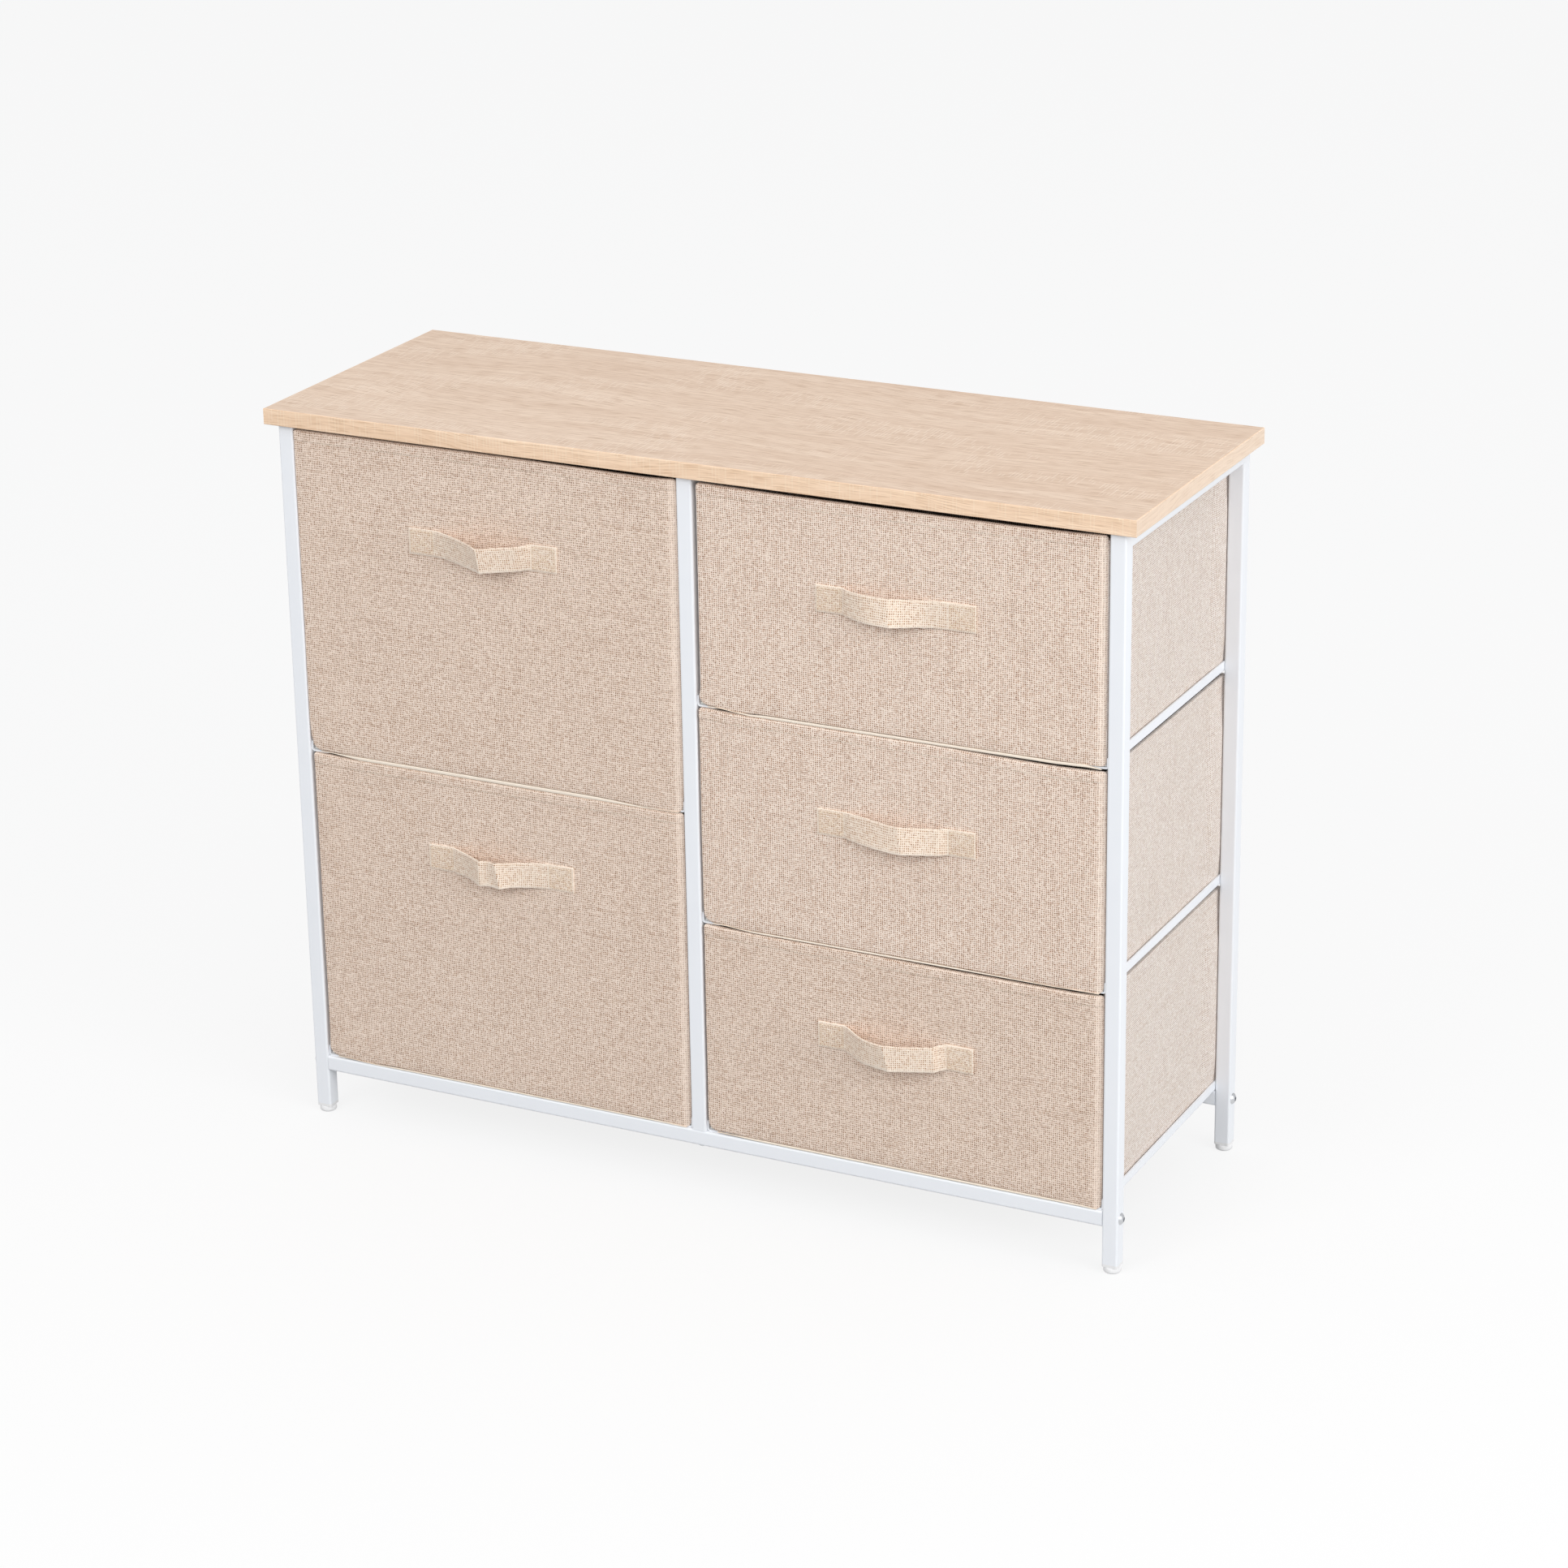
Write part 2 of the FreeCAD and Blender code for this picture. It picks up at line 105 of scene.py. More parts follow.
# Pull straps and the thread that sews them on
strap_thickness = 1.4 * MM
strap_sewn_length = 27 * MM
strap_width = 24.5 * MM
strap_seam = 1.5 * MM
strap_end_line = 12.7 * MM
strap_pale_start = 10.4 * MM
strap_pale_full = 11.8 * MM
crease_half_width = 1.2 * MM
strap_edge_rounding = 0.45 * MM
stitch_inset = 2.6 * MM
stitch_length = 2.6 * MM
stitch_pitch = 3.5 * MM
stitch_thickness = 0.8 * MM

# Levelling feet
foot_pad_height = 6 * MM
foot_edge_rounding = 1.9 * MM
foot_top_bevel = 0.4 * MM
foot_stem_radius = 3 * MM
foot_thread_pitch = 1.6 * MM
foot_thread_depth = 0.35 * MM
turning_steps = 40

# Studio: its floor, its light from above and from below, and the backdrop as the camera sees it
studio_size = 60
sky_light = 0.8
ground_light = 0.32
backdrop_light = 0.94

# Camera: angles in degrees, place in metres, lens and picture width in millimetres
camera_azimuth = 26.655
camera_elevation = 20.838
camera_roll = -0.926
camera_place = Vector((1.6985, -3.3304, 1.7766))
camera_lens = 99.96
camera_width = 36.0

# Distance between the threads of the cloth
weave_pitch = 1.9 * MM

# The sizes of folds, hangs and drawers are in millimetres.
# A fold is a line across a strap: its distance from the strap's middle, how far it stands out from the front,
# how far its lower end lies to the right of its upper end, how far it droops, how much further its upper end
# stands out than its lower end, and whether it is a sharp crease.
Fold = namedtuple("Fold", "offset out lean droop tip sharp", defaults=(0, 0, 0, False))

# How a bin hangs: the floor's sag between its runners, the height of bound edge that shows below the front,
# how far the front's lower right end hangs down before its runner, and the shares of the width
# where the bound edge begins to show, shows fully and starts to disappear.
Hang = namedtuple("Hang", "sag shows drop begins full ends")

# A drawer's looks: whether its weft runs upright, how far its strap is sewn beside and above its usual place,
# how far the left and right edges of its front lean to the right, the height of the front's top edge
# at shares of its width, how it hangs, and the folds of its strap.
Drawer = namedtuple("Drawer", "weft_upright strap_shift strap_lift left_lean right_lean crown hang folds")

drawers = {
    "lower_left": Drawer(
        weft_upright=False, strap_shift=5, strap_lift=5.4, left_lean=0.4, right_lean=0.8,
        crown=((0, 2.3), (0.1, 1.2), (0.5, 1.0), (1, 1.5)),
        hang=Hang(1.2, 1.2, 1.3, begins=0.08, full=0.2, ends=0.95),
        folds=[
            Fold(-44, 3),
            Fold(-30, 7, tip=3.5, droop=0.3),
            Fold(-13.6, 17.5, droop=0.8, sharp=True),
            Fold(-5, 13.8, lean=2, droop=1.2),
            Fold(5, 17, lean=4.6, droop=1.2, sharp=True),
            Fold(15, 9, droop=1),
            Fold(27, 5, droop=0.6),
            Fold(38, 2.2, droop=0.2),
        ],
    ),
    "upper_left": Drawer(
        weft_upright=False, strap_shift=-1, strap_lift=0, left_lean=-2.3, right_lean=1.2,
        crown=((0, 3.0), (0.5, 2.8), (0.93, 1.1), (1, 2.3)),
        hang=Hang(3.0, 3.2, 2.0, begins=0.045, full=0.1, ends=0.75),
        folds=[
            Fold(-39, 2.5, tip=1.5),
            Fold(-27, 6.8, tip=2.5, droop=0.4),
            Fold(-7, 15.8, tip=3, droop=1),
            Fold(1, 20.5, tip=4, droop=1.2),
            Fold(9, 25.8, lean=0.5, tip=6.5, droop=1.5, sharp=True),
            Fold(19, 18.8, tip=6.5, droop=1.5),
            Fold(29, 13, tip=6, droop=1.2),
            Fold(39, 7.5, lean=-2, tip=6, droop=1),
            Fold(44, 3, lean=-4, tip=3, droop=0.4, sharp=True),
        ],
    ),
    "lower_right": Drawer(
        weft_upright=False, strap_shift=-3.5, strap_lift=2.8, left_lean=-0.6, right_lean=0.8,
        crown=((0, 2.0), (0.1, 0.9), (0.4, 0.8), (0.65, -0.6), (0.92, -0.9), (1, 0.2)),
        hang=Hang(1.2, 1.7, 1.3, begins=0.0, full=0.12, ends=0.96),
        folds=[
            Fold(-40, 6, tip=1),
            Fold(-27, 17, tip=1.5, droop=0.6),
            Fold(-12.5, 20.2, tip=2, droop=1.2),
            Fold(0.5, 22.8, lean=5.5, tip=0.7, droop=1.5, sharp=True),
            Fold(14.5, 18.2, tip=1.4, droop=1.4),
            Fold(28.5, 13, tip=0.5, droop=1.2),
            Fold(40.5, 8.8, lean=2, tip=2, droop=0.9, sharp=True),
            Fold(43.5, 4, tip=-1.5, droop=0.5),
        ],
    ),
    "middle_right": Drawer(
        weft_upright=True, strap_shift=-1.5, strap_lift=0.5, left_lean=-0.6, right_lean=0.8,
        crown=((0, 2.2), (0.1, 1.2), (0.5, 1.0), (0.88, -1.4), (1, 0)),
        hang=Hang(2.4, 1.5, 2.0, begins=0.05, full=0.12, ends=0.5),
        folds=[
            Fold(-43.5, 2.5, tip=-2),
            Fold(-22.5, 7.8, tip=-5, droop=0.4),
            Fold(-6.5, 12.3, tip=-4, droop=0.8),
            Fold(9, 13.8, lean=3.4, tip=-2.5, droop=1, sharp=True),
            Fold(26.5, 8.2, tip=-3, droop=0.7),
            Fold(42, 4.2, tip=-1.5, droop=0.3, sharp=True),
        ],
    ),
    "upper_right": Drawer(
        weft_upright=True, strap_shift=-0.8, strap_lift=0, left_lean=1.6, right_lean=-0.4,
        crown=((0, 2.2), (0.25, 1.0), (0.5, 0.8), (0.78, 0.7), (0.9, 1.5), (1, 2.5)),
        hang=Hang(3.0, 2.5, 2.0, begins=0.05, full=0.16, ends=1.0),
        folds=[
            Fold(-46, 3.2),
            Fold(-32, 9.2, tip=-0.7, droop=0.3),
            Fold(-18, 12, tip=-4.5, droop=0.6),
            Fold(-1, 12.6, lean=3.7, tip=-5.2, droop=0.8, sharp=True),
            Fold(14, 6.5, tip=-3, droop=0.6),
            Fold(27, 2.4, droop=0.3),
            Fold(37, 0.8),
        ],
    ),
}


# Modelling helpers


def pick_nothing():
    """Deselect every object."""
    bpy.ops.object.select_all(action="DESELECT")


def pick_all():
    """Select all of the piece in edit mode."""
    bpy.ops.mesh.select_all(action="SELECT")


def name_piece(name):
    """Name the object that was just added."""
    piece = bpy.context.object
    piece.name = name
    piece.data.name = name
    return piece


def add_block(name, low, high):
    """Box between two corners, as the start of a piece."""
    pick_nothing()
    bpy.ops.mesh.primitive_cube_add(size=1, location=(low + high) / 2, scale=high - low)
    bpy.ops.object.transform_apply()
    return name_piece(name)


def add_point(name, place):
    """Single point, as the start of a piece that is drawn out of it."""
    pick_nothing()
    bpy.ops.mesh.primitive_plane_add(size=1, location=place)
    bpy.ops.object.transform_apply()
    piece = name_piece(name)
    with editing(piece):
        bpy.ops.mesh.select_mode(type="VERT")
        pick_all()
        bpy.ops.mesh.merge(type="CENTER")
    return piece


def draw_out(places):
    """Extrude a whole piece from the first of these places to the last, one after another."""
    pick_all()
    for before, after in zip(places, places[1:]):
        bpy.ops.mesh.extrude_region_move(TRANSFORM_OT_translate={"value": after - before})


def make_active(piece):
    """Select one piece and nothing else."""
    pick_nothing()
    piece.select_set(True)
    bpy.context.view_layer.objects.active = piece


@contextmanager
def editing(piece):
    """Edit mode on one piece."""
    make_active(piece)
    bpy.ops.object.mode_set(mode="EDIT")
    yield
    bpy.ops.object.mode_set(mode="OBJECT")


def pick(piece, kind, test):
    """Select the edges or faces that pass a test of their middle and their direction or normal."""
    bpy.ops.mesh.select_mode(type=kind)
    bpy.ops.mesh.select_all(action="DESELECT")
    mesh = bmesh.from_edit_mesh(piece.data)
    if kind == "EDGE":
        found = [edge for edge in mesh.edges if test(*edge_line(edge))]
    else:
        found = [face for face in mesh.faces if test(face.calc_center_median(), face.normal)]
    for part in found:
        part.select_set(True)
    mesh.select_flush_mode()
    bmesh.update_edit_mesh(piece.data)


def round_edges(piece, radius, segments, test):
    """Round off the edges whose middle and direction pass a test."""
    pick(piece, "EDGE", test)
    bpy.ops.mesh.bevel(offset=radius, segments=segments, affect="EDGES")


def edge_line(edge):
    """Middle and direction of an edge."""
    start, end = (point.co for point in edge.verts)
    return (start + end) / 2, (end - start).normalized()


def is_near(place, other):
    """Whether two places are the same."""
    return (place - other).length < same_place


def runs_along(direction, axis):
    """Whether a direction is that of an axis."""
    return abs(direction.dot(axis)) > parallel


def cut_across(axis, places):
    """Cut the whole piece in edit mode by planes square to an axis."""
    for place in places:
        pick_all()
        bpy.ops.mesh.bisect(plane_co=axis * place, plane_no=axis)


def places_between(low, high, pitch):
    """Evenly spaced places between two ends, about a pitch apart."""
    count = max(2, round((high - low) / pitch))
    return [low + (high - low) * step / count for step in range(1, count)]


def apply_modifier(piece, kind, **settings):
    """Add a modifier and apply it at once."""
    make_active(piece)
    modifier = piece.modifiers.new(kind.title(), kind)
    for setting, value in settings.items():
        setattr(modifier, setting, value)
    bpy.ops.object.modifier_apply(modifier=modifier.name)


def sculpt(piece, offset):
    """Move every point of a piece by an offset that depends on its place."""
    for point in piece.data.vertices:
        point.co += offset(point.co)
    piece.data.update()


def ease(value, start, end):
    """Smooth step from 0 at the start to 1 at the end."""
    if start == end:
        return float(value >= end)
    share = min(1.0, max(0.0, (value - start) / (end - start)))
    return share * share * (3 - 2 * share)


def unevenness(place, size, seed):
    """Smooth random value between about -1 and 1."""
    return noise.noise(place / size + Vector((seed, 2 * seed, 3 * seed)))


def clear_maps(mesh):
    """Take off the UV maps that a mesh was made with."""
    while mesh.uv_layers:
        mesh.uv_layers.remove(mesh.uv_layers[0])


def lay_cloth(piece, weft_upright=False):
    """UV map in metres, so that the weave keeps its real scale on every side of a piece."""
    mesh = piece.data
    clear_maps(mesh)
    layer = mesh.uv_layers.new(name="cloth")
    flat_axes = ((1, 2), (0, 2), (0, 1))
    for face in mesh.polygons:
        facing = max(range(3), key=lambda axis: abs(face.normal[axis]))
        across, up = flat_axes[facing]
        for loop in face.loop_indices:
            place = mesh.vertices[mesh.loops[loop].vertex_index].co
            weave_place = (place[up], place[across]) if weft_upright else (place[across], place[up])
            layer.data[loop].uv = weave_place


def hand_over(piece, body, slot, *materials, degrees=40):
    """Smooth a finished piece over all but its sharp edges, and give it its materials and body; its slot is
    not used.
    """
    make_active(piece)
    bpy.ops.object.shade_smooth_by_angle(angle=math.radians(degrees))
    for material in materials:
        piece.data.materials.append(material)
    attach(piece, body)


# Shader helpers


def feed(socket, value):
    """Join a socket to another one, or set its own value, where a colour is of three shares."""
    if isinstance(value, bpy.types.NodeSocket):
        socket.id_data.links.new(value, socket)
    else:
        socket.default_value = (*value, 1) if socket.type == "RGBA" else value


def add_node(tree, kind, inputs=None, **settings):
    """Add a shader node with its settings and inputs."""
    node = tree.nodes.new(f"ShaderNode{kind}")
    for setting, value in settings.items():
        setattr(node, setting, value)
    for socket, value in (inputs or {}).items():
        feed(node.inputs[socket], value)
    return node


def follow(kind, inputs, **settings):
    """Add a node to the tree that its inputs come from."""
    tree = next(value.id_data for value in inputs.values() if isinstance(value, bpy.types.NodeSocket))
    return add_node(tree, kind, inputs, **settings)


def calc(operation, *values):
    """Result of one sum."""
    return follow("Math", dict(enumerate(values)), operation=operation).outputs[0]


def times(first, second):
    """Product of two values."""
    return calc("MULTIPLY", first, second)


def apart(first, second):
    """Distance between two values."""
    return calc("ABSOLUTE", calc("SUBTRACT", first, second))


def spread(value, from_low, from_high, to_low, to_high, kind="LINEAR"):
    """Value moved from one range to another."""
    inputs = dict(enumerate((value, from_low, from_high, to_low, to_high)))
    return follow("MapRange", inputs, interpolation_type=kind).outputs["Result"]


def mix_colours(share, first, second):
    """Two colours mixed by a share."""
    return follow("Mix", {0: share, 6: first, 7: second}, data_type="RGBA").outputs[2]


def cloud(place, scale, detail=2.0, dimensions="3D"):
    """Smooth random value between 0 and 1."""
    inputs = {"Vector": place, "Scale": scale, "Detail": detail}
    return follow("TexNoise", inputs, noise_dimensions=dimensions).outputs[0]


def speck(across, up):
    """Random value and colour of each cell of a grid."""
    inputs = {"Vector": joined(across, up)}
    return follow("TexWhiteNoise", inputs, noise_dimensions="2D").outputs


def joined(x, y):
    """Vector from two values."""
    return follow("CombineXYZ", {"X": x, "Y": y}).outputs[0]


def parted(vector):
    """Three values from a vector."""
    return follow("SeparateXYZ", {0: vector}).outputs


def new_group(name, inputs, outputs):
    """Empty shader group with its sockets, and the nodes that stand for them."""
    tree = bpy.data.node_groups.new(name, "ShaderNodeTree")
    for way, sockets in (("INPUT", inputs), ("OUTPUT", outputs)):
        for socket, kind in sockets.items():
            tree.interface.new_socket(socket, in_out=way, socket_type=f"NodeSocket{kind}")
    return tree, tree.nodes.new("NodeGroupInput").outputs, tree.nodes.new("NodeGroupOutput").inputs


def use_group(group, inputs):
    """A shared effect placed in a material with its own values."""
    return follow("Group", inputs, node_tree=group).outputs


def new_material(name, constants=None):
    """Material with its node tree and its main shader, some of whose inputs are constant."""
    material = bpy.data.materials.new(name)
    material.use_nodes = True
    tree = material.node_tree
    shader = tree.nodes["Principled BSDF"]
    for socket, value in (constants or {}).items():
        feed(shader.inputs[socket], value)
    return material, tree, shader


def paint(shader, colour):
    """Colour of a material."""
    feed(shader.inputs["Base Color"], colour)


def roughen(shader, value, low, high, at_low, at_high):
    """Roughness of a material, which follows a value."""
    feed(shader.inputs["Roughness"], spread(value, low, high, at_low, at_high))


def raise_surface(shader, height, depth, strength):
    """Fine relief from a height that varies between 0 and 1."""
    inputs = {"Height": height, "Distance": depth, "Strength": strength}
    feed(shader.inputs["Normal"], follow("Bump", inputs).outputs[0])


def cloth_place(tree, layer="cloth"):
    """Place on the cloth, in metres."""
    return add_node(tree, "UVMap", uv_map=layer).outputs[0]


def object_place(tree):
    """Place in the object's own frame, and the direction that the surface faces."""
    coordinates = add_node(tree, "TexCoord").outputs
    return coordinates["Object"], coordinates["Normal"]


# Shared effects


def thread_width(index, along, seed):
    """Half the width of a thread, which swells and thins along its length."""
    place = joined(calc("MULTIPLY_ADD", index, 1.73, seed), times(along, 0.4))
    return spread(cloud(place, 1.0, 2.0, "2D"), 0.3, 0.7, 0.17, 0.29)


def linen_weave():
    """Plain weave of uneven threads, with darker gaps between them and slubs along the weft."""
    tree, inputs, outputs = new_group(
        "linen_weave",
        {
            "Place": "Vector", "Pitch": "Float", "Thread": "Color",
            "Slub": "Color", "Gap": "Color", "Deep gap": "Color",
            "Gap strength": "Float",
        },
        {"Colour": "Color", "Height": "Float"},
    )
    across, up, _ = parted(inputs["Place"])
    drift = spread(cloud(inputs["Place"], 60.0, 2.0), 0.25, 0.75, -0.25, 0.25)
    wander = spread(cloud(inputs["Place"], 420.0, 1.0), 0.25, 0.75, -0.1, 0.1)
    drift = calc("ADD", drift, wander)
    warp = calc("ADD", calc("DIVIDE", across, inputs["Pitch"]), drift)
    weft_pitch = times(inputs["Pitch"], 1.08)
    weft = calc("SUBTRACT", calc("DIVIDE", up, weft_pitch), drift)
    warp_index = calc("ROUND", warp)
    weft_index = calc("ROUND", weft)
    warp_half = thread_width(warp_index, weft, 3.1)
    weft_half = thread_width(weft_index, warp, 57.3)
    openings = []
    for place, index, half in ((warp, warp_index, warp_half), (weft, weft_index, weft_half)):
        distance = apart(place, index)
        start = calc("SUBTRACT", half, 0.06)
        end = calc("ADD", half, 0.06)
        openings.append(spread(distance, start, end, 0.0, 1.0, "SMOOTHSTEP"))
    gap = times(*openings)

    cell = speck(calc("FLOOR", warp), calc("FLOOR", weft))
    depth = spread(cell["Value"], 0.0, 1.0, 0.4, 1.6)
    blotch = cloud(inputs["Place"], 420.0, 1.0)
    depth = times(depth, spread(blotch, 0.3, 0.7, 0.8, 1.25))
    depth = times(depth, inputs["Gap strength"])
    share = calc("MINIMUM", times(gap, depth), 1.0)

    streak_place = joined(times(weft_index, 3.17), times(warp, 0.015))
    streak = spread(cloud(streak_place, 1.0, 1.0, "2D"), 0.58, 0.72, 0.0, 0.22)
    thread = mix_colours(streak, inputs["Thread"], inputs["Gap"])
    shade = spread(cloud(inputs["Place"], 22.0, 2.0), 0.4, 0.7, 0.0, 0.06)
    thread = mix_colours(shade, thread, inputs["Gap"])
    thick = spread(calc("MAXIMUM", warp_half, weft_half), 0.22, 0.29, 0.0, 0.6)
    thread = mix_colours(thick, thread, inputs["Slub"])
    thread = mix_colours(spread(blotch, 0.3, 0.55, 0.6, 0.0), thread, inputs["Slub"])
    tint = parted(cell["Color"])[1]
    gap_colour = mix_colours(tint, inputs["Gap"], inputs["Deep gap"])
    feed(outputs["Colour"], mix_colours(share, thread, gap_colour))

    rise = times(cosine(warp), cosine(weft))
    woven = calc("MULTIPLY_ADD", rise, 0.2, 0.8)
    feed(outputs["Height"], times(calc("SUBTRACT", 1.0, gap), woven))
    return tree


def cosine(turns):
    """Cosine of a number of half turns."""
    return calc("COSINE", times(turns, math.pi))


def fine_grain():
    """Faint mottling and a fine relief, as on coats and mouldings."""
    tree, inputs, outputs = new_group(
        "fine_grain",
        {"Place": "Vector", "Size": "Float"},
        {"Mottle": "Float", "Relief": "Float"},
    )
    scale = calc("DIVIDE", 1.0, inputs["Size"])
    feed(outputs["Relief"], cloud(inputs["Place"], scale, 2.0))
    feed(outputs["Mottle"], cloud(inputs["Place"], calc("DIVIDE", scale, 30.0), 3.0))
    return tree


# Materials


def woven_material(name, weave, colours, gap_strength, sheen=0.15):
    """Cloth of one weave: its threads, slubs, gaps and deep gaps."""
    constants = {"Sheen Weight": sheen, "Sheen Roughness": 0.6, "Specular IOR Level": 0.2}
    material, tree, shader = new_material(name, constants)
    thread, slub, gap, deep_gap = colours
    cloth = use_group(weave, {
        "Place": cloth_place(tree), "Pitch": weave_pitch, "Thread": thread, "Slub": slub, "Gap": gap,
        "Deep gap": deep_gap, "Gap strength": gap_strength,
    })
    roughen(shader, cloth["Height"], 0.0, 1.0, 0.95, 0.8)
    raise_surface(shader, cloth["Height"], 0.35 * MM, 0.5)
    return material, tree, shader, cloth


def front_fabric(name, weave, colours, gap_strength):
    """Linen-look cloth of the fronts, with a painted highlight where it turns over their right-hand edge."""
    material, tree, shader, cloth = woven_material(name, weave, colours, gap_strength)
    turned = add_node(tree, "Attribute", attribute_name="painted_edge_highlight").outputs["Fac"]
    # Painted highlight: the cloth is mixed towards its paler slub colour where it turns towards the light
    # from the right.
    share = times(turned, 0.4)
    paint(shader, mix_colours(share, cloth["Colour"], colours[1]))
    return material


def drawer_fabric(weave):
    """Linen-look cloth of the bins, with its weft level."""
    colours = (
        (0.84, 0.685, 0.57), (0.97, 0.82, 0.705),
        (0.42, 0.24, 0.14), (0.25, 0.12, 0.06),
    )
    return front_fabric("bin_cloth", weave, colours, 1.0)


def painted_lighter_fabric(weave):
    """The same cloth with its weft upright, in a copy painted lighter that stands in for the stronger light
    on the two upper right-hand fronts.
    """
    colours = (
        (0.9, 0.735, 0.62), (1.0, 0.87, 0.76),
        (0.44, 0.25, 0.15), (0.25, 0.12, 0.06),
    )
    return front_fabric("painted_lighter_cloth", weave, colours, 1.1)


def walls_with_painted_sheen(weave):
    """The same cloth on the bins' side and rear walls, in a paler copy that is painted sheen, standing in for
    the grazing view and the stronger light from the right.
    """
    colours = (
        (0.85, 0.77, 0.715), (0.91, 0.845, 0.79),
        (0.52, 0.35, 0.23), (0.38, 0.23, 0.14),
    )
    material, _, shader, cloth = woven_material("wall_painted_sheen", weave, colours, 1.35, 0.35)
    paint(shader, cloth["Colour"])
    return material


def strap_webbing(weave):
    """Creamier cloth of the straps, paler along both folded edges, with painted shade in the stitch grooves
    of its sewn ends.
    """
    colours = (
        (0.91, 0.76, 0.625), (0.96, 0.85, 0.73),
        (0.56, 0.35, 0.21), (0.37, 0.19, 0.1),
    )
    material, tree, shader, cloth = woven_material("strap_cloth", weave, colours, 0.9)
    up = parted(cloth_place(tree))[1]
    reach = calc("ABSOLUTE", up)
    edge = spread(reach, strap_pale_start, strap_pale_full, 0.0, 0.6, "SMOOTHSTEP")
    across = parted(cloth_place(tree, "sewn"))[0]
    past_fold = apart(calc("ABSOLUTE", across), strap_end_line)
    end = spread(past_fold, 0.3 * MM, 0.8 * MM, 0.7, 0.0)
    colour = mix_colours(calc("MAXIMUM", edge, end), cloth["Colour"], colours[1])
    # Painted shade: the stitch grooves are darkened towards the gap colour.
    groove = times(stitch_groove_shade(tree), 0.4)
    paint(shader, mix_colours(groove, colour, colours[2]))
    return material


def stitch_groove_shade(tree):
    """Mask of the lines that the thread draws in at a sewn end, a box and a cross, where shade is painted
    into the grooves.
    """
    across, up, _ = parted(cloth_place(tree, "sewn"))
    across = calc("DIVIDE", calc("ABSOLUTE", across), strap_sewn_length / 2 - stitch_inset)
    up = calc("DIVIDE", calc("ABSOLUTE", up), strap_width / 2 - stitch_inset)
    reach = calc("MAXIMUM", across, up)
    box = spread(apart(reach, 1.0), 0.04, 0.16, 1.0, 0.0)
    cross = spread(apart(across, up), 0.06, 0.2, 1.0, 0.0)
    inside = calc("LESS_THAN", reach, 1.0)
    return calc("MAXIMUM", box, times(cross, inside))


def pressed_fleece(name, colour, shade):
    """Non-woven cloth with its grid of pressed dots."""
    material, tree, shader = new_material(name, {"Specular IOR Level": 0.25})
    place = cloth_place(tree)
    dots = follow("TexVoronoi", {"Vector": place, "Scale": 650.0, "Randomness": 0.25})
    fibre = cloud(place, 900.0, 4.0)
    pressed = spread(dots.outputs["Distance"], 0.15, 0.45, 1.0, 0.0, "SMOOTHSTEP")
    mottle = calc("MULTIPLY_ADD", pressed, 0.5, times(fibre, 0.5))
    paint(shader, mix_colours(mottle, colour, shade))
    roughen(shader, fibre, 0.0, 1.0, 0.75, 0.95)
    raise_surface(shader, calc("SUBTRACT", 1.0, pressed), 0.12 * MM, 0.4)
    return material


def fibre_material(name, scale, detail, shades, roughness, relief):
    """Material of fine fibres, which lead its shade, its roughness and its relief."""
    material, tree, shader = new_material(name)
    place, _ = object_place(tree)
    fibre = cloud(place, scale, detail)
    paint(shader, mix_colours(fibre, *shades))
    roughen(shader, fibre, 0.0, 1.0, *roughness)
    raise_surface(shader, fibre, *relief)
    return material


def sewing_thread():
    """Twisted cream thread."""
    return fibre_material(
        "sewing_thread", scale=2500.0, detail=2.0, shades=((0.95, 0.87, 0.73), (0.86, 0.75, 0.58)),
        roughness=(0.6, 0.8), relief=(0.1 * MM, 0.4),
    )


def grained_material(name, grain, size, shades, roughness, led_by, relief=None, constants=None):
    """Material with a fine grain, which leads its shade and its roughness and may raise its surface."""
    material, tree, shader = new_material(name, constants)
    place, _ = object_place(tree)
    surface = use_group(grain, {"Place": place, "Size": size})
    shade_by, rough_by = led_by
    paint(shader, mix_colours(surface[shade_by], *shades))
    roughen(shader, surface[rough_by], 0.3, 0.7, *roughness)
    if relief:
        raise_surface(shader, surface["Relief"], *relief)
    return material


def coated_steel(grain):
    """White powder coat with its faint orange-peel relief."""
    return grained_material(
        "white_coat", grain, 0.9 * MM, shades=((0.86, 0.885, 0.925), (0.89, 0.91, 0.945)),
        roughness=(0.36, 0.48), led_by=("Mottle", "Mottle"), relief=(0.03 * MM, 0.25),
        constants={"Specular IOR Level": 0.4},
    )


def zinc_plate(grain):
    """Bright zinc on bolts, nuts and screws."""
    return grained_material(
        "bright_zinc", grain, 0.4 * MM, shades=((0.52, 0.53, 0.55), (0.68, 0.69, 0.71)),
        roughness=(0.22, 0.42), led_by=("Relief", "Relief"), constants={"Metallic": 1.0},
    )


def moulded_plastic(grain):
    """White moulded plastic of the feet and their inserts."""
    return grained_material(
        "white_moulding", grain, 0.3 * MM, shades=((0.82, 0.82, 0.83), (0.88, 0.88, 0.88)),
        roughness=(0.42, 0.55), led_by=("Mottle", "Relief"), relief=(0.02 * MM, 0.2),
    )


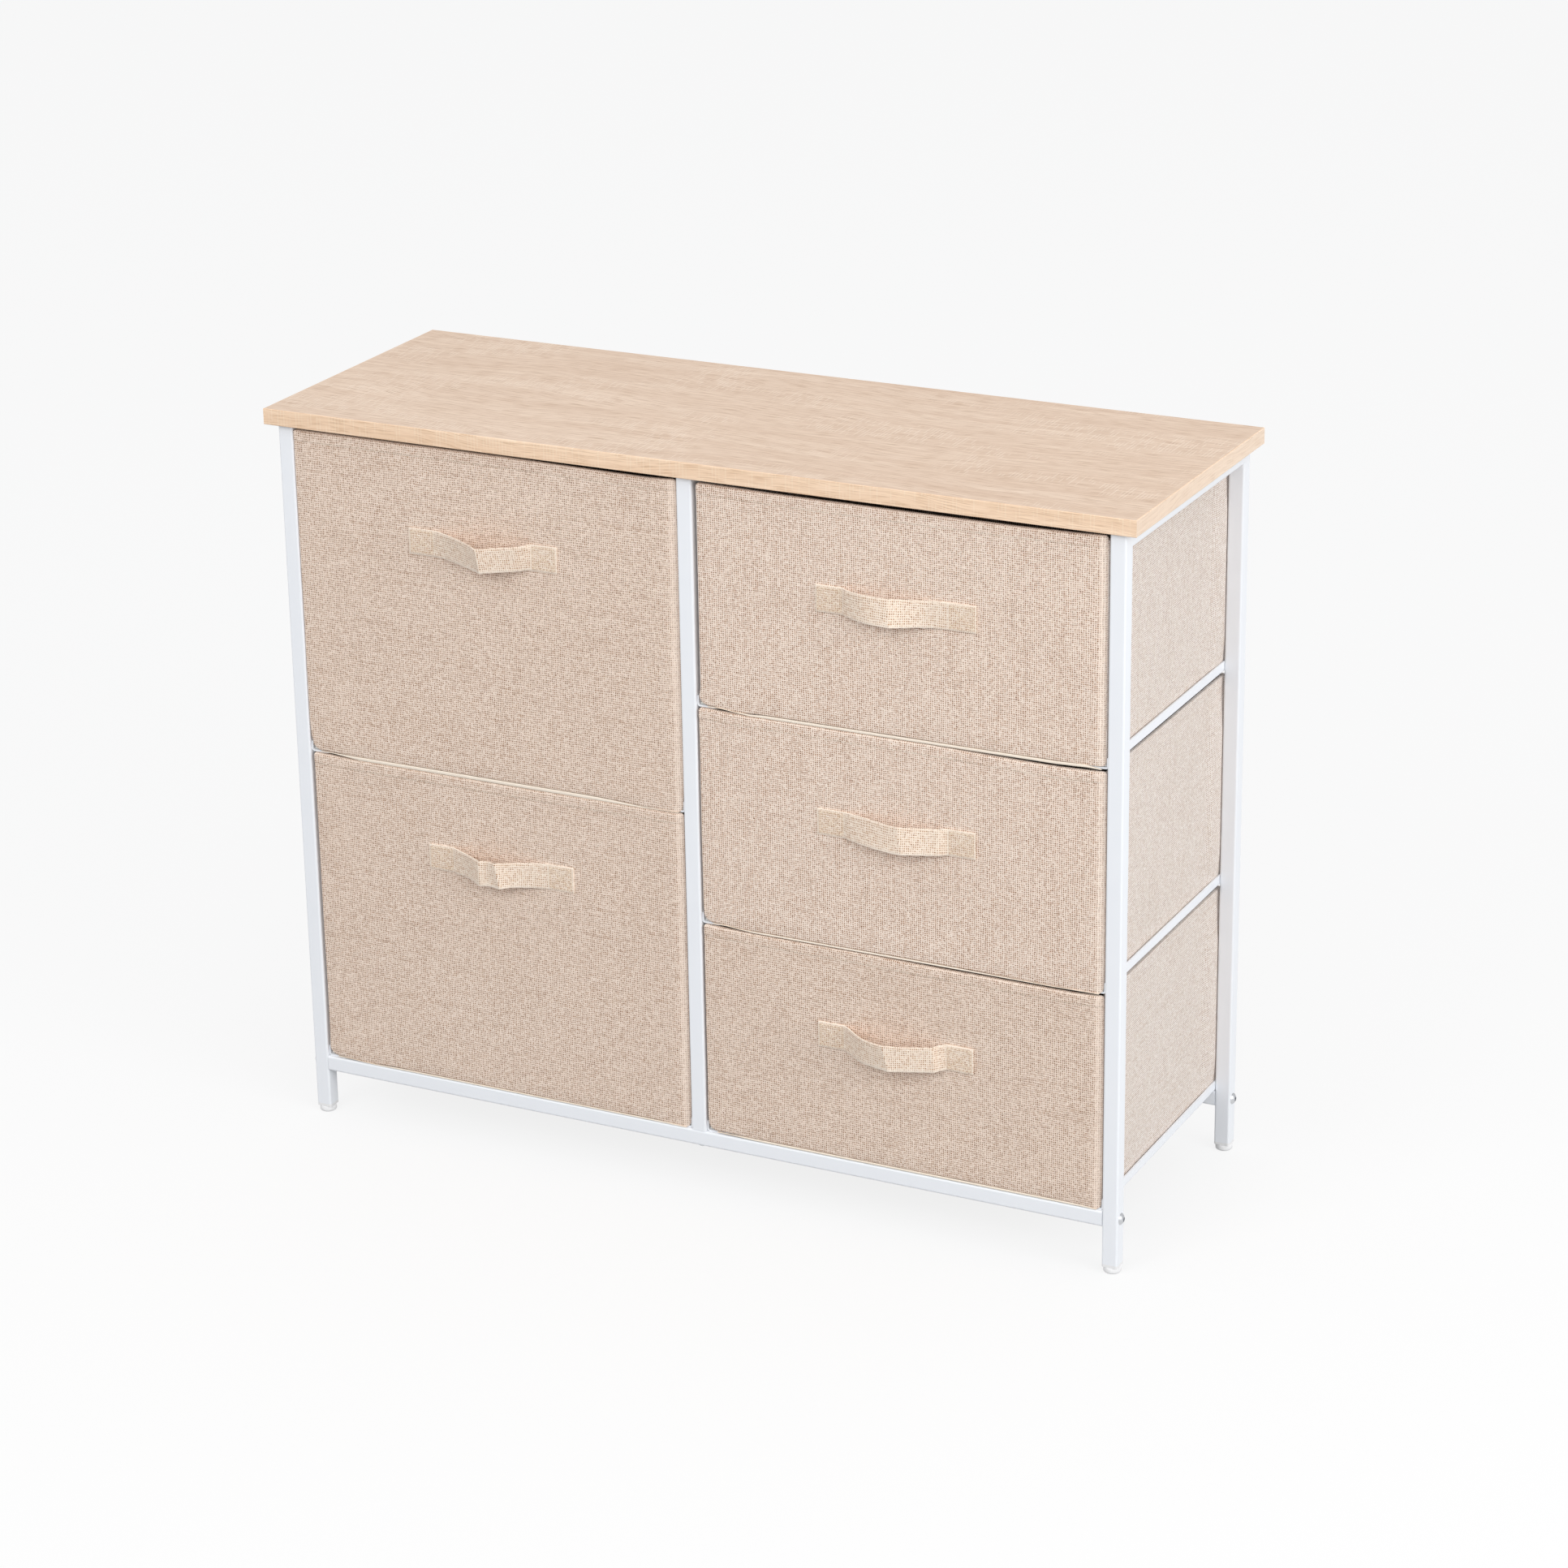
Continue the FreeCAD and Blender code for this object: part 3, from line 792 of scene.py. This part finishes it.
def oak_print(name, light, dark, streak, mark_colour, clustered):
    """Pale oak print with fine grain along the board and short saw marks across it, plainer and paler on its
    ends, where sheen is painted.
    """
    material, tree, shader = new_material(name, {"Specular IOR Level": 0.35})
    place, facing = object_place(tree)
    x, y, z = parted(place)
    on_side = calc("GREATER_THAN", calc("ABSOLUTE", parted(facing)[0]), 0.7)
    length = mix_values(on_side, x, y)
    width = mix_values(on_side, calc("ADD", y, z), calc("ADD", x, z))

    bend = cloud(stretched(length, width, 3.0, 9.0), 1.0, 2.0, "2D")
    ring_width = calc("MULTIPLY_ADD", bend, 0.05, width)
    figure = cloud(stretched(length, ring_width, 2.2, 55.0), 1.0, 4.0, "2D")
    lines = cloud(stretched(length, ring_width, 9.0, 420.0), 1.0, 3.0, "2D")
    pores = cloud(stretched(length, ring_width, 45.0, 900.0), 1.0, 3.0, "2D")
    broad = cloud(stretched(length, width, 1.3, 14.0), 1.0, 2.0, "2D")

    colour = mix_colours(spread(figure, 0.3, 0.7, 0.0, 0.7), light, dark)
    colour = mix_colours(spread(broad, 0.35, 0.7, 0.0, 0.4), colour, light)
    colour = mix_colours(spread(lines, 0.35, 0.7, 0.0, 0.3), colour, streak)
    colour = mix_colours(spread(pores, 0.5, 0.7, 0.0, 0.65), colour, streak)
    mark = saw_marks(length, width, clustered)
    colour = mix_colours(times(mark, 0.6), colour, mark_colour)
    # Painted sheen: faces at the board's ends are mixed towards a pale colour, standing in for the sheen of a
    # grazing view and the light from the right.
    colour = mix_colours(times(on_side, 0.45), colour, (0.82, 0.71, 0.61))
    paint(shader, colour)
    roughen(shader, pores, 0.3, 0.7, 0.42, 0.55)
    raise_surface(shader, calc("SUBTRACT", mark, pores), 0.05 * MM, 0.3)
    return material


def stretched(length, width, along, across):
    """Place in a pattern with its own scale along and across the board."""
    return joined(times(length, along), times(width, across))


def saw_marks(length, width, clustered):
    """Thin lines across the grain, each of its own length: all along the board, or more in clusters."""
    row = calc("DIVIDE", length, 3.2 * MM)
    index = calc("ROUND", row)
    line = spread(apart(row, index), 0.08, 0.2, 1.0, 0.0)
    reach = cloud(stretched(index, width, 3.7, 60.0), 1.0, 0.0, "2D")
    reach = spread(reach, 0.45, 0.62, 0.0, 1.0)
    cluster = cloud(stretched(length, width, 7.0, 16.0), 1.0, 1.0, "2D")
    cluster = spread(cluster, 0.5, 0.64, 0.05, 1.0) if clustered else 0.4
    return times(times(line, reach), cluster)


def oak_board():
    """Face of the top."""
    return oak_print(
        "oak_face", (0.86, 0.68, 0.535), (0.7, 0.505, 0.37), (0.52, 0.345, 0.23),
        (0.93, 0.79, 0.66), True,
    )


def oak_edge():
    """Banding round the top, a little brighter and yellower than the face."""
    return oak_print(
        "oak_edge", (0.99, 0.755, 0.555), (0.84, 0.59, 0.4), (0.63, 0.4, 0.235),
        (1.0, 0.87, 0.7), False,
    )


def mix_values(share, first, second):
    """Two values mixed by a share."""
    return spread(share, 0.0, 1.0, first, second)


def raw_fibreboard():
    """Raw fibreboard that stiffens the floor of a bin."""
    return fibre_material(
        "raw_fibreboard", scale=350.0, detail=5.0, shades=((0.56, 0.44, 0.33), (0.68, 0.56, 0.43)),
        roughness=(0.75, 0.95), relief=(0.1 * MM, 0.3),
    )


# Drawers


def shows_at(hang, share):
    """Height of bound edge that shows below a front, at a share of its width."""
    rises = ease(share, hang.begins, hang.full)
    falls = 1 - ease(share, hang.ends, 1.0)
    return hang.shows * MM * rises * falls


def sags_at(hang, share):
    """Drop of a bin's floor between its runners, at a share of its width."""
    return hang.sag * MM * ease(min(share, 1 - share), runner_share, hanging_share)


def drops_at(hang, share):
    """How far a front's lower edge hangs down before the right-hand runner, at a share of its width."""
    return hang.drop * MM * (1 - ease(1 - share, runner_share, hanging_share))


def clears_at(share):
    """How far a front's lower edge stands above the left-hand runner's end, at a share of its width."""
    return runner_shows * (1 - ease(share, runner_clear_share, hanging_share))


def crown_at(crown, share):
    """Height of a front's top edge, eased from one point of its crown to the next."""
    for (left, start), (right, end) in zip(crown, crown[1:]):
        if share <= right:
            return (start + (end - start) * ease(share, left, right)) * MM
    return crown[-1][1] * MM


def hem_cuts(hem):
    """Heights of the cuts that keep the step below a hem narrow."""
    return [hem + step * hem_step for step in (-2, -1, 0, 1)]


def mark_painted_edge_highlight(piece, right):
    """Attribute that is 1 where the cloth turns over a front's right-hand edge: the mask of its painted
    highlight.
    """
    turned = piece.data.attributes.new("painted_edge_highlight", "FLOAT", "POINT")
    for point, mark in zip(piece.data.vertices, turned.data):
        mark.value = ease(point.co.x, right - edge_turn, right - turn_start * edge_turn)


def fabric_front(name, drawer, seed, fabric, lining, thread):
    """Stiff front under its cloth: corners rounded, a hem along the top and a lower edge that hangs."""
    low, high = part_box(f"{name}_front_panel")
    low = Vector((low.x, low.y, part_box(f"{name}_fabric_floor")[0].z))
    front = low.y
    width = high.x - low.x
    piece = add_block(f"{name}_front", low, high)
    corners = (
        (low.x, low.z, lower_left_corner), (low.x, high.z, upper_left_corner),
        (high.x, low.z, right_corners), (high.x, high.z, right_corners),
    )
    with editing(piece):
        for x, z, radius in corners:
            here = Vector((x, z))
            round_edges(
                piece, radius, corner_segments,
                lambda middle, way: runs_along(way, Y_AXIS) and is_near(middle.xz, here),
            )
        round_edges(
            piece, front_edge_rounding, rounding_segments,
            lambda middle, way: middle.y < front + same_place,
        )
        cut_across(X_AXIS, places_between(low.x, high.x, cloth_pitch))
        cut_across(X_AXIS, (high.x - edge_turn, high.x - turn_start * edge_turn))
        cut_across(Z_AXIS, places_between(low.z, high.z - 2 * hem_depth, cloth_pitch))
        hem = high.z - hem_depth
        cut_across(Z_AXIS, [*hem_cuts(hem), high.z - hem_depth / 2])

    def offset(place):
        share = (place.x - low.x) / width
        shown = shows_at(drawer.hang, share)
        sag = sags_at(drawer.hang, share)
        nearness = 1 - ease(place.z, low.z, low.z + hang_reach)
        drop = drops_at(drawer.hang, share)
        lip = drop + lip_rounding * drop / (drawer.hang.drop * MM)
        lip *= 1 - ease(place.y, front + lip_depth, front + lip_end)
        lift = (shown + clears_at(share) - sag - lip) * nearness
        lift += edge_unevenness * unevenness(place, unevenness_size, seed) * ease(place.z, hem, high.z)
        lift += crown_at(drawer.crown, share) * ease(place.z, high.z - crown_reach, high.z)
        above_runner = ease(place.z, low.z + lean_start, low.z + lean_full)
        lean = drawer.left_lean * (1 - ease(share, 0, lean_share))
        lean += drawer.right_lean * ease(share, 1 - lean_share, 1)
        is_front = 1 - ease(place.y, front + MM, high.y)
        out = face_unevenness * unevenness(place, unevenness_size, seed + 0.5)
        out += hem_rise * ease(place.z, hem - hem_step, hem)
        out -= edge_turn_depth * ease(place.x, high.x - edge_turn, high.x)
        return Vector((lean * MM * above_runner, -out * is_front, lift))

    mark_painted_edge_highlight(piece, high.x)
    sculpt(piece, offset)
    lay_cloth(piece, drawer.weft_upright)
    for face in piece.data.polygons:
        face.material_index = int(face.normal.y > mostly)
    hand_over(piece, f"{name}_drawer", "drawer_fabric", fabric, lining)
    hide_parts(f"{name}_front_panel")

    ends = [Vector((x, front, hem - hem_step / 2)) for x in (low.x + hem_depth, high.x - hem_depth)]
    seam = stitch_row(*ends)
    seam.name = f"{name}_hem_stitches"
    sculpt(seam, offset)
    hand_over(seam, f"{name}_drawer", "drawer_fabric", thread, degrees=60)


def fabric_walls(name, drawer, seed, fabric, lining):
    """Side and rear walls of a bin: cloth outside, lining inside."""
    low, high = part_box(f"{name}_bin_walls")
    piece = add_block(f"{name}_walls", low, high)
    back = high.y
    belly_start = back - rear_belly_start
    middle_x = (low.x + high.x) / 2
    with editing(piece):
        pick(piece, "FACE", lambda centre, normal: abs(normal.z) > mostly or normal.y < -mostly)
        bpy.ops.mesh.delete(type="FACE")
        round_edges(
            piece, wall_corner_rounding, rounding_segments,
            lambda middle, way: runs_along(way, Z_AXIS) and middle.y > back - same_place,
        )
        cut_across(X_AXIS, places_between(low.x, high.x, 2 * cloth_pitch))
        cut_across(Y_AXIS, places_between(low.y, belly_start, 2 * cloth_pitch))
        cut_across(Y_AXIS, [belly_start, *places_between(belly_start, back, rear_belly_pitch)])
        hem = high.z - hem_depth
        cut_across(Z_AXIS, places_between(low.z, hem - cloth_pitch, 2 * cloth_pitch))
        cut_across(Z_AXIS, hem_cuts(hem))

    def offset(place):
        inwards = X_AXIS if place.x < middle_x else -X_AXIS
        on_side = 1 - ease(place.y, back - wall_corner_rounding - MM, back)
        clear_of_ends = ease(place.y, low.y, low.y + 2 * cloth_pitch)
        clear_of_ends *= 1 - ease(place.y, back - 4 * cloth_pitch, back - cloth_pitch)
        bow = wall_bow * (1 + unevenness(place, unevenness_size, seed)) * clear_of_ends
        bow -= wall_hem_rise * ease(place.z, hem - hem_step, hem)
        belly = rear_belly * ease(place.y, belly_start, back - rear_belly_full)
        belly *= 1 - ease(place.y, back - rear_belly_end, back - wall_corner_rounding)
        belly *= ease(place.z, low.z + cloth_pitch, low.z + 2 * cloth_pitch)
        belly *= 1 - ease(place.z, hem - cloth_pitch, hem)
        return inwards * (bow - belly) * on_side - Y_AXIS * (bow * (1 - on_side))

    sculpt(piece, offset)
    apply_modifier(
        piece, "SOLIDIFY", thickness=wall_thickness, offset=-1.0, material_offset=1, material_offset_rim=0,
    )
    lay_cloth(piece, drawer.weft_upright)
    hand_over(piece, f"{name}_drawer", "drawer_fabric", fabric, lining)
    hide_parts(f"{name}_bin_walls")


def hanging_strip(name, low, high, hang, pitch, is_binding):
    """Flat strip across a bin, cut along its width and sagging with the floor."""
    piece = add_block(name, low, high)
    width = high.x - low.x
    with editing(piece):
        round_edges(piece, binding_rounding, rounding_segments, lambda middle, way: runs_along(way, X_AXIS))
        cut_across(X_AXIS, places_between(low.x, high.x, pitch))

    def offset(place):
        share = (place.x - low.x) / width
        height_share = (place.z - low.z) / (high.z - low.z)
        rise = -sags_at(hang, share)
        if is_binding:
            shown = max(binding_least_height, shows_at(hang, share))
            rise += (shown - (high.z - low.z)) * height_share - drops_at(hang, share)
        return Z_AXIS * rise

    sculpt(piece, offset)
    lay_cloth(piece)
    return piece


def fabric_floor(name, drawer, lining, binding):
    """Sewn floor of a bin, with its bound front edge as a strip below the front."""
    low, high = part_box(f"{name}_fabric_floor")
    panel_low, panel_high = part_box(f"{name}_front_panel")
    floor_low = Vector((low.x, panel_high.y, low.z))
    floor_high = Vector((high.x, high.y, low.z + floor_thickness))
    floor = hanging_strip(f"{name}_floor", floor_low, floor_high, drawer.hang, floor_pitch, False)
    hand_over(floor, f"{name}_drawer", "drawer_fabric", lining)
    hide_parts(f"{name}_fabric_floor")

    tape_low = Vector((low.x + lower_left_corner, panel_low.y - binding_proud, low.z))
    tape_high = Vector((high.x - right_corners, panel_low.y + binding_depth, high.z))
    tape = hanging_strip(f"{name}_binding", tape_low, tape_high, drawer.hang, cloth_pitch, True)
    hand_over(tape, f"{name}_drawer", "binding_fabric", binding)


def strap_box(name, drawer):
    """Low and high corner of a strap as it is sewn on."""
    sewn_off = Vector((drawer.strap_shift, 0, drawer.strap_lift)) * MM
    return [corner + sewn_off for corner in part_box(f"{name}_pull_strap")]


def pull_strap(name, drawer, webbing):
    """Webbing strap, drawn out from its sewn left end fold by fold to its sewn right end."""
    low, high = strap_box(name, drawer)
    middle = (low.x + high.x) / 2
    front = high.y
    half_free = (high.x - low.x) / 2 - strap_sewn_length
    left_end = [Fold(place, 0) for place in (low.x - middle, -half_free - strap_seam, -half_free)]
    right_end = [Fold(-row.offset, 0) for row in reversed(left_end)]
    folds = [Fold(*(size * MM for size in row[:-1]), row.sharp) for row in drawer.folds]
    rows = crease_folds(left_end + folds + right_end)
    places = [Vector((row.offset, -row.out, -row.droop)) for row in rows]
    piece = add_point(f"{name}_strap", Vector((low.x, front, low.z)))
    with editing(piece):
        draw_out([Z_AXIS * low.z, Z_AXIS * high.z])
        draw_out(places)
        pick_all()
        bpy.ops.mesh.normals_make_consistent(inside=False)
    lean_folds(piece, rows, (low.z + high.z) / 2, high.z - low.z)
    lengths = strap_lengths(rows)
    face_outwards(piece)
    apply_modifier(piece, "SUBSURF", levels=3, render_levels=3, boundary_smooth="PRESERVE_CORNERS")
    lay_strap(piece, [middle + row.offset for row in rows], lengths, (low.z + high.z) / 2)
    apply_modifier(piece, "SOLIDIFY", thickness=strap_thickness, offset=1.0)
    apply_modifier(piece, "BEVEL", width=strap_edge_rounding, segments=2, limit_method="ANGLE")
    hand_over(piece, f"{name}_drawer", "strap_webbing", webbing, degrees=60)
    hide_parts(f"{name}_pull_strap")


def crease_folds(rows):
    """Rows with one more close to each side of a sharp crease, which keep it narrow."""
    creased = [rows[0]]
    for before, row, after in zip(rows, rows[1:], rows[2:]):
        creased += [beside(row, before), row, beside(row, after)] if row.sharp else [row]
    return creased + [rows[-1]]


def beside(row, neighbour):
    """Row a little way from a crease towards the next fold."""
    share = crease_half_width / abs(neighbour.offset - row.offset)
    mixed = [here + (there - here) * share for here, there in zip(row[:-1], neighbour[:-1])]
    return Fold(*mixed)


def lean_folds(piece, rows, middle_z, width):
    """Move the upper end of each fold to the left and outwards, and its lower end the other way."""
    points = sorted(piece.data.vertices, key=lambda point: point.co.x)
    for row, pair in zip(rows, zip(points[::2], points[1::2])):
        for point in pair:
            height = (point.co.z + row.droop - middle_z) / width
            point.co.x -= row.lean * height
            point.co.y -= row.tip * height


def face_outwards(piece):
    """Turn the strap's faces to the front."""
    if sum(face.normal.y for face in piece.data.polygons) > 0:
        piece.data.flip_normals()


def strap_lengths(rows):
    """Length of strap from its left end to each fold."""
    lengths = [0.0]
    for before, after in zip(rows, rows[1:]):
        run = math.hypot(after.offset - before.offset, after.out - before.out)
        lengths.append(lengths[-1] + run)
    return lengths


def lay_strap(piece, places, lengths, middle_z):
    """UV maps of a strap: one along it, so that its weave bends with it, and one round each sewn end."""
    mesh = piece.data
    clear_maps(mesh)
    mesh.uv_layers.new(name="cloth")
    mesh.uv_layers.new(name="sewn")
    half_sewn = strap_sewn_length / 2
    end_middles = (places[0] + half_sewn, places[-1] - half_sewn)
    for loop in mesh.loops:
        place = mesh.vertices[loop.vertex_index].co
        nearest = min(end_middles, key=lambda middle: abs(place.x - middle))
        up = place.z - middle_z
        mesh.uv_layers["cloth"].data[loop.index].uv = (along_strap(place.x, places, lengths), up)
        mesh.uv_layers["sewn"].data[loop.index].uv = (place.x - nearest, up)


def along_strap(x, places, lengths):
    """Length along the strap at a place, in a straight line between the two folds beside it."""
    for left, right, start, end in zip(places, places[1:], lengths, lengths[1:]):
        if x <= right:
            return start + (end - start) * (x - left) / (right - left)
    return lengths[-1]


def stitch_row(start, end):
    """Straight row of stitches between two points of the front's plane."""
    run = end - start
    count = max(2, round(run.length / stitch_pitch))
    step = run / count
    pick_nothing()
    bpy.ops.mesh.primitive_cube_add(
        size=1, location=start + step / 2, rotation=(0, -math.atan2(run.z, run.x), 0),
        scale=(stitch_length, stitch_thickness, stitch_thickness),
    )
    bpy.ops.object.transform_apply()
    row = name_piece("stitch_row")
    apply_modifier(row, "SUBSURF", levels=1, render_levels=1)
    apply_modifier(
        row, "ARRAY", count=count, use_relative_offset=False, use_constant_offset=True,
        constant_offset_displace=step,
    )
    return row


def join_pieces(pieces, name):
    """Several pieces as one."""
    make_active(pieces[0])
    for piece in pieces:
        piece.select_set(True)
    bpy.ops.object.join()
    return name_piece(name)


def sewn_end_stitches():
    """Box of stitches with a cross in it, round the middle of a sewn end."""
    half_x = strap_sewn_length / 2 - stitch_inset
    half_z = strap_width / 2 - stitch_inset
    corners = [Vector((x * half_x, 0, z * half_z)) for x, z in ((-1, -1), (1, -1), (1, 1), (-1, 1))]
    lines = [*zip(corners, corners[1:] + corners[:1]), (corners[0], corners[2]), (corners[3], corners[1])]
    return join_pieces([stitch_row(start, end) for start, end in lines], "sewn_end_stitches")


def copy_to(piece, place, name):
    """Copy of a piece with a mesh of its own, moved to a place."""
    copy = piece.copy()
    copy.data = piece.data.copy()
    copy.data.transform(Matrix.Translation(place))
    bpy.context.scene.collection.objects.link(copy)
    copy.name = name
    return copy


def strap_stitches(name, drawer, pattern, thread):
    """The stitches of both sewn ends of one strap."""
    low, high = strap_box(name, drawer)
    surface = high.y - strap_thickness
    middle_z = (low.z + high.z) / 2
    ends = (low.x + strap_sewn_length / 2, high.x - strap_sewn_length / 2)
    copies = [copy_to(pattern, Vector((x, surface, middle_z)), "sewn_end") for x in ends]
    piece = join_pieces(copies, f"{name}_strap_stitches")
    hand_over(piece, f"{name}_drawer", "strap_webbing", thread, degrees=60)


# Feet


def levelling_foot(node, body, plastic):
    """Foot turned from its outline: a pad with a rounded lower edge and a threaded stem."""
    low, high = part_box(node)
    centre = (low + high) / 2
    axis = Vector((centre.x, centre.y, low.z))
    radius = (high.x - low.x) / 2
    outline = [Vector((reach, 0, rise)) for reach, rise in foot_outline(radius, high.z - low.z)]
    piece = add_point(node.replace("_foot", "_levelling_pad"), axis)
    with editing(piece):
        draw_out(outline)
        pick_all()
        bpy.ops.mesh.spin(steps=turning_steps, angle=2 * math.pi, center=axis, axis=Z_AXIS)
        pick_all()
        bpy.ops.mesh.remove_doubles(threshold=same_place)
        bpy.ops.mesh.normals_make_consistent(inside=False)
    hand_over(piece, body, "foot_plastic", plastic, degrees=50)
    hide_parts(node)


def foot_outline(radius, height):
    """Distance from the axis and height of each point, from the middle of the sole to the tip of the stem."""
    rounding_centre = radius - foot_edge_rounding
    points = [(0, 0)]
    for step in range(corner_segments + 1):
        turn = math.pi / 2 * step / corner_segments
        points.append((
            rounding_centre + foot_edge_rounding * math.sin(turn),
            foot_edge_rounding * (1 - math.cos(turn)),
        ))
    points += [(radius, foot_pad_height - foot_top_bevel), (radius - foot_top_bevel, foot_pad_height)]
    points.append((foot_stem_radius, foot_pad_height))
    turns = int((height - foot_pad_height) / foot_thread_pitch)
    for turn in range(turns):
        crest = foot_pad_height + turn * foot_thread_pitch
        points.append((foot_stem_radius, crest + foot_thread_pitch / 4))
        points.append((foot_stem_radius - foot_thread_depth, crest + foot_thread_pitch / 2))
        points.append((foot_stem_radius, crest + foot_thread_pitch))
    points += [(foot_stem_radius - foot_thread_depth, height), (0, height)]
    return points


# Finish of the CAD nodes that stay


def dress(names, material):
    """Give CAD nodes their material."""
    for name in names:
        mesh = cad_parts[name].data
        mesh.materials.clear()
        mesh.materials.append(material)


def nodes_ending(*endings):
    """Names of the CAD nodes that end in one of these ways."""
    return [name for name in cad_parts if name.endswith(endings)]


# Studio


def pale_floor():
    """Wide pale floor, partly lit from within so that it stays even."""
    pick_nothing()
    bpy.ops.mesh.primitive_plane_add(size=studio_size, location=(0, 0, 0))
    floor = name_piece("studio_floor")
    material, _, _ = new_material("studio_floor", {
        "Base Color": (0.16, 0.16, 0.16), "Roughness": 0.9, "Specular IOR Level": 0.0,
        "Emission Color": (1, 1, 1), "Emission Strength": 0.8,
    })
    floor.data.materials.append(material)
    floor.visible_diffuse = False


def soft_light(name, place, aim, size, power):
    """Large square light that faces a point."""
    light = bpy.data.lights.new(name, "AREA")
    light.shape = "SQUARE"
    light.size = size
    light.energy = power
    lamp = bpy.data.objects.new(name, light)
    bpy.context.scene.collection.objects.link(lamp)
    lamp.location = place
    lamp.rotation_euler = (Vector(aim) - Vector(place)).to_track_quat("-Z", "Y").to_euler()


def studio_light():
    """Even surrounding light with soft boxes in front on the left, in front on the right and beside it."""
    world = bpy.data.worlds.new("studio")
    bpy.context.scene.world = world
    world.use_nodes = True
    tree = world.node_tree
    sky = tree.nodes["Background"].inputs
    feed(sky["Color"], (0.985, 0.99, 1.0))
    height = parted(add_node(tree, "TexCoord").outputs["Generated"])[2]
    strength = spread(height, -0.15, 0.15, ground_light, sky_light, "SMOOTHSTEP")
    seen = add_node(tree, "LightPath").outputs["Is Camera Ray"]
    feed(sky["Strength"], mix_values(seen, strength, backdrop_light))
    middle = (0, 0, 0.35)
    soft_light("key_softbox", (-0.8, -3.2, 2.4), middle, 1.6, 33)
    soft_light("right_softbox", (2.4, -2.6, 2.2), middle, 2.0, 24)
    soft_light("fill_softbox", (3.6, -1.0, 1.6), middle, 2.0, 56)


def photo_camera():
    """Camera at the photograph's viewing angle."""
    angles = (camera_azimuth, camera_elevation, camera_roll)
    azimuth, elevation, roll = (math.radians(angle) for angle in angles)
    lens = bpy.data.cameras.new("photo_camera")
    lens.sensor_width = camera_width
    lens.lens = camera_lens
    camera = bpy.data.objects.new("photo_camera", lens)
    bpy.context.scene.collection.objects.link(camera)
    turn = Matrix.Rotation(azimuth, 4, "Z") @ Matrix.Rotation(math.pi / 2 - elevation, 4, "X")
    camera.matrix_world = Matrix.Translation(camera_place) @ turn @ Matrix.Rotation(roll, 4, "Z")
    bpy.context.scene.camera = camera


# Putting it together
weave = linen_weave()
grain = fine_grain()
level_fabric = drawer_fabric(weave)
upright_painted_lighter = painted_lighter_fabric(weave)
wall_sheen_fabric = walls_with_painted_sheen(weave)
webbing = strap_webbing(weave)
lining = pressed_fleece("bin_lining", (0.8, 0.78, 0.74), (0.68, 0.66, 0.62))
binding = pressed_fleece("binding_tape", (0.92, 0.83, 0.72), (0.84, 0.73, 0.6))
thread = sewing_thread()
plastic = moulded_plastic(grain)

dress(nodes_ending("_leg", "_rail", "_post", "_cross_tube", "_runner"), coated_steel(grain))
dress(nodes_ending("_bolts", "_nuts", "_screws"), zinc_plate(grain))
dress(["foot_inserts"], plastic)
dress(["top_panel"], oak_board())
dress(["edge_banding"], oak_edge())
dress(nodes_ending("_base_board"), raw_fibreboard())

pattern = sewn_end_stitches()
for seed, (name, drawer) in enumerate(drawers.items(), start=1):
    # Fronts with an upright weft take the copy of the cloth painted lighter, which stands in for stronger
    # light.
    fabric = upright_painted_lighter if drawer.weft_upright else level_fabric
    fabric_front(name, drawer, seed, fabric, lining, thread)
    fabric_walls(name, drawer, seed, wall_sheen_fabric, lining)
    fabric_floor(name, drawer, lining, binding)
    pull_strap(name, drawer, webbing)
    strap_stitches(name, drawer, pattern, thread)
bpy.data.objects.remove(pattern)

for corner in ("left_front", "left_rear", "right_front", "right_rear"):
    levelling_foot(f"{corner}_foot", f"{corner}_levelling_foot", plastic)

pale_floor()
studio_light()
photo_camera()
bpy.context.scene.view_settings.view_transform = "Standard"
bpy.context.scene.cycles.denoising_prefilter = "NONE"
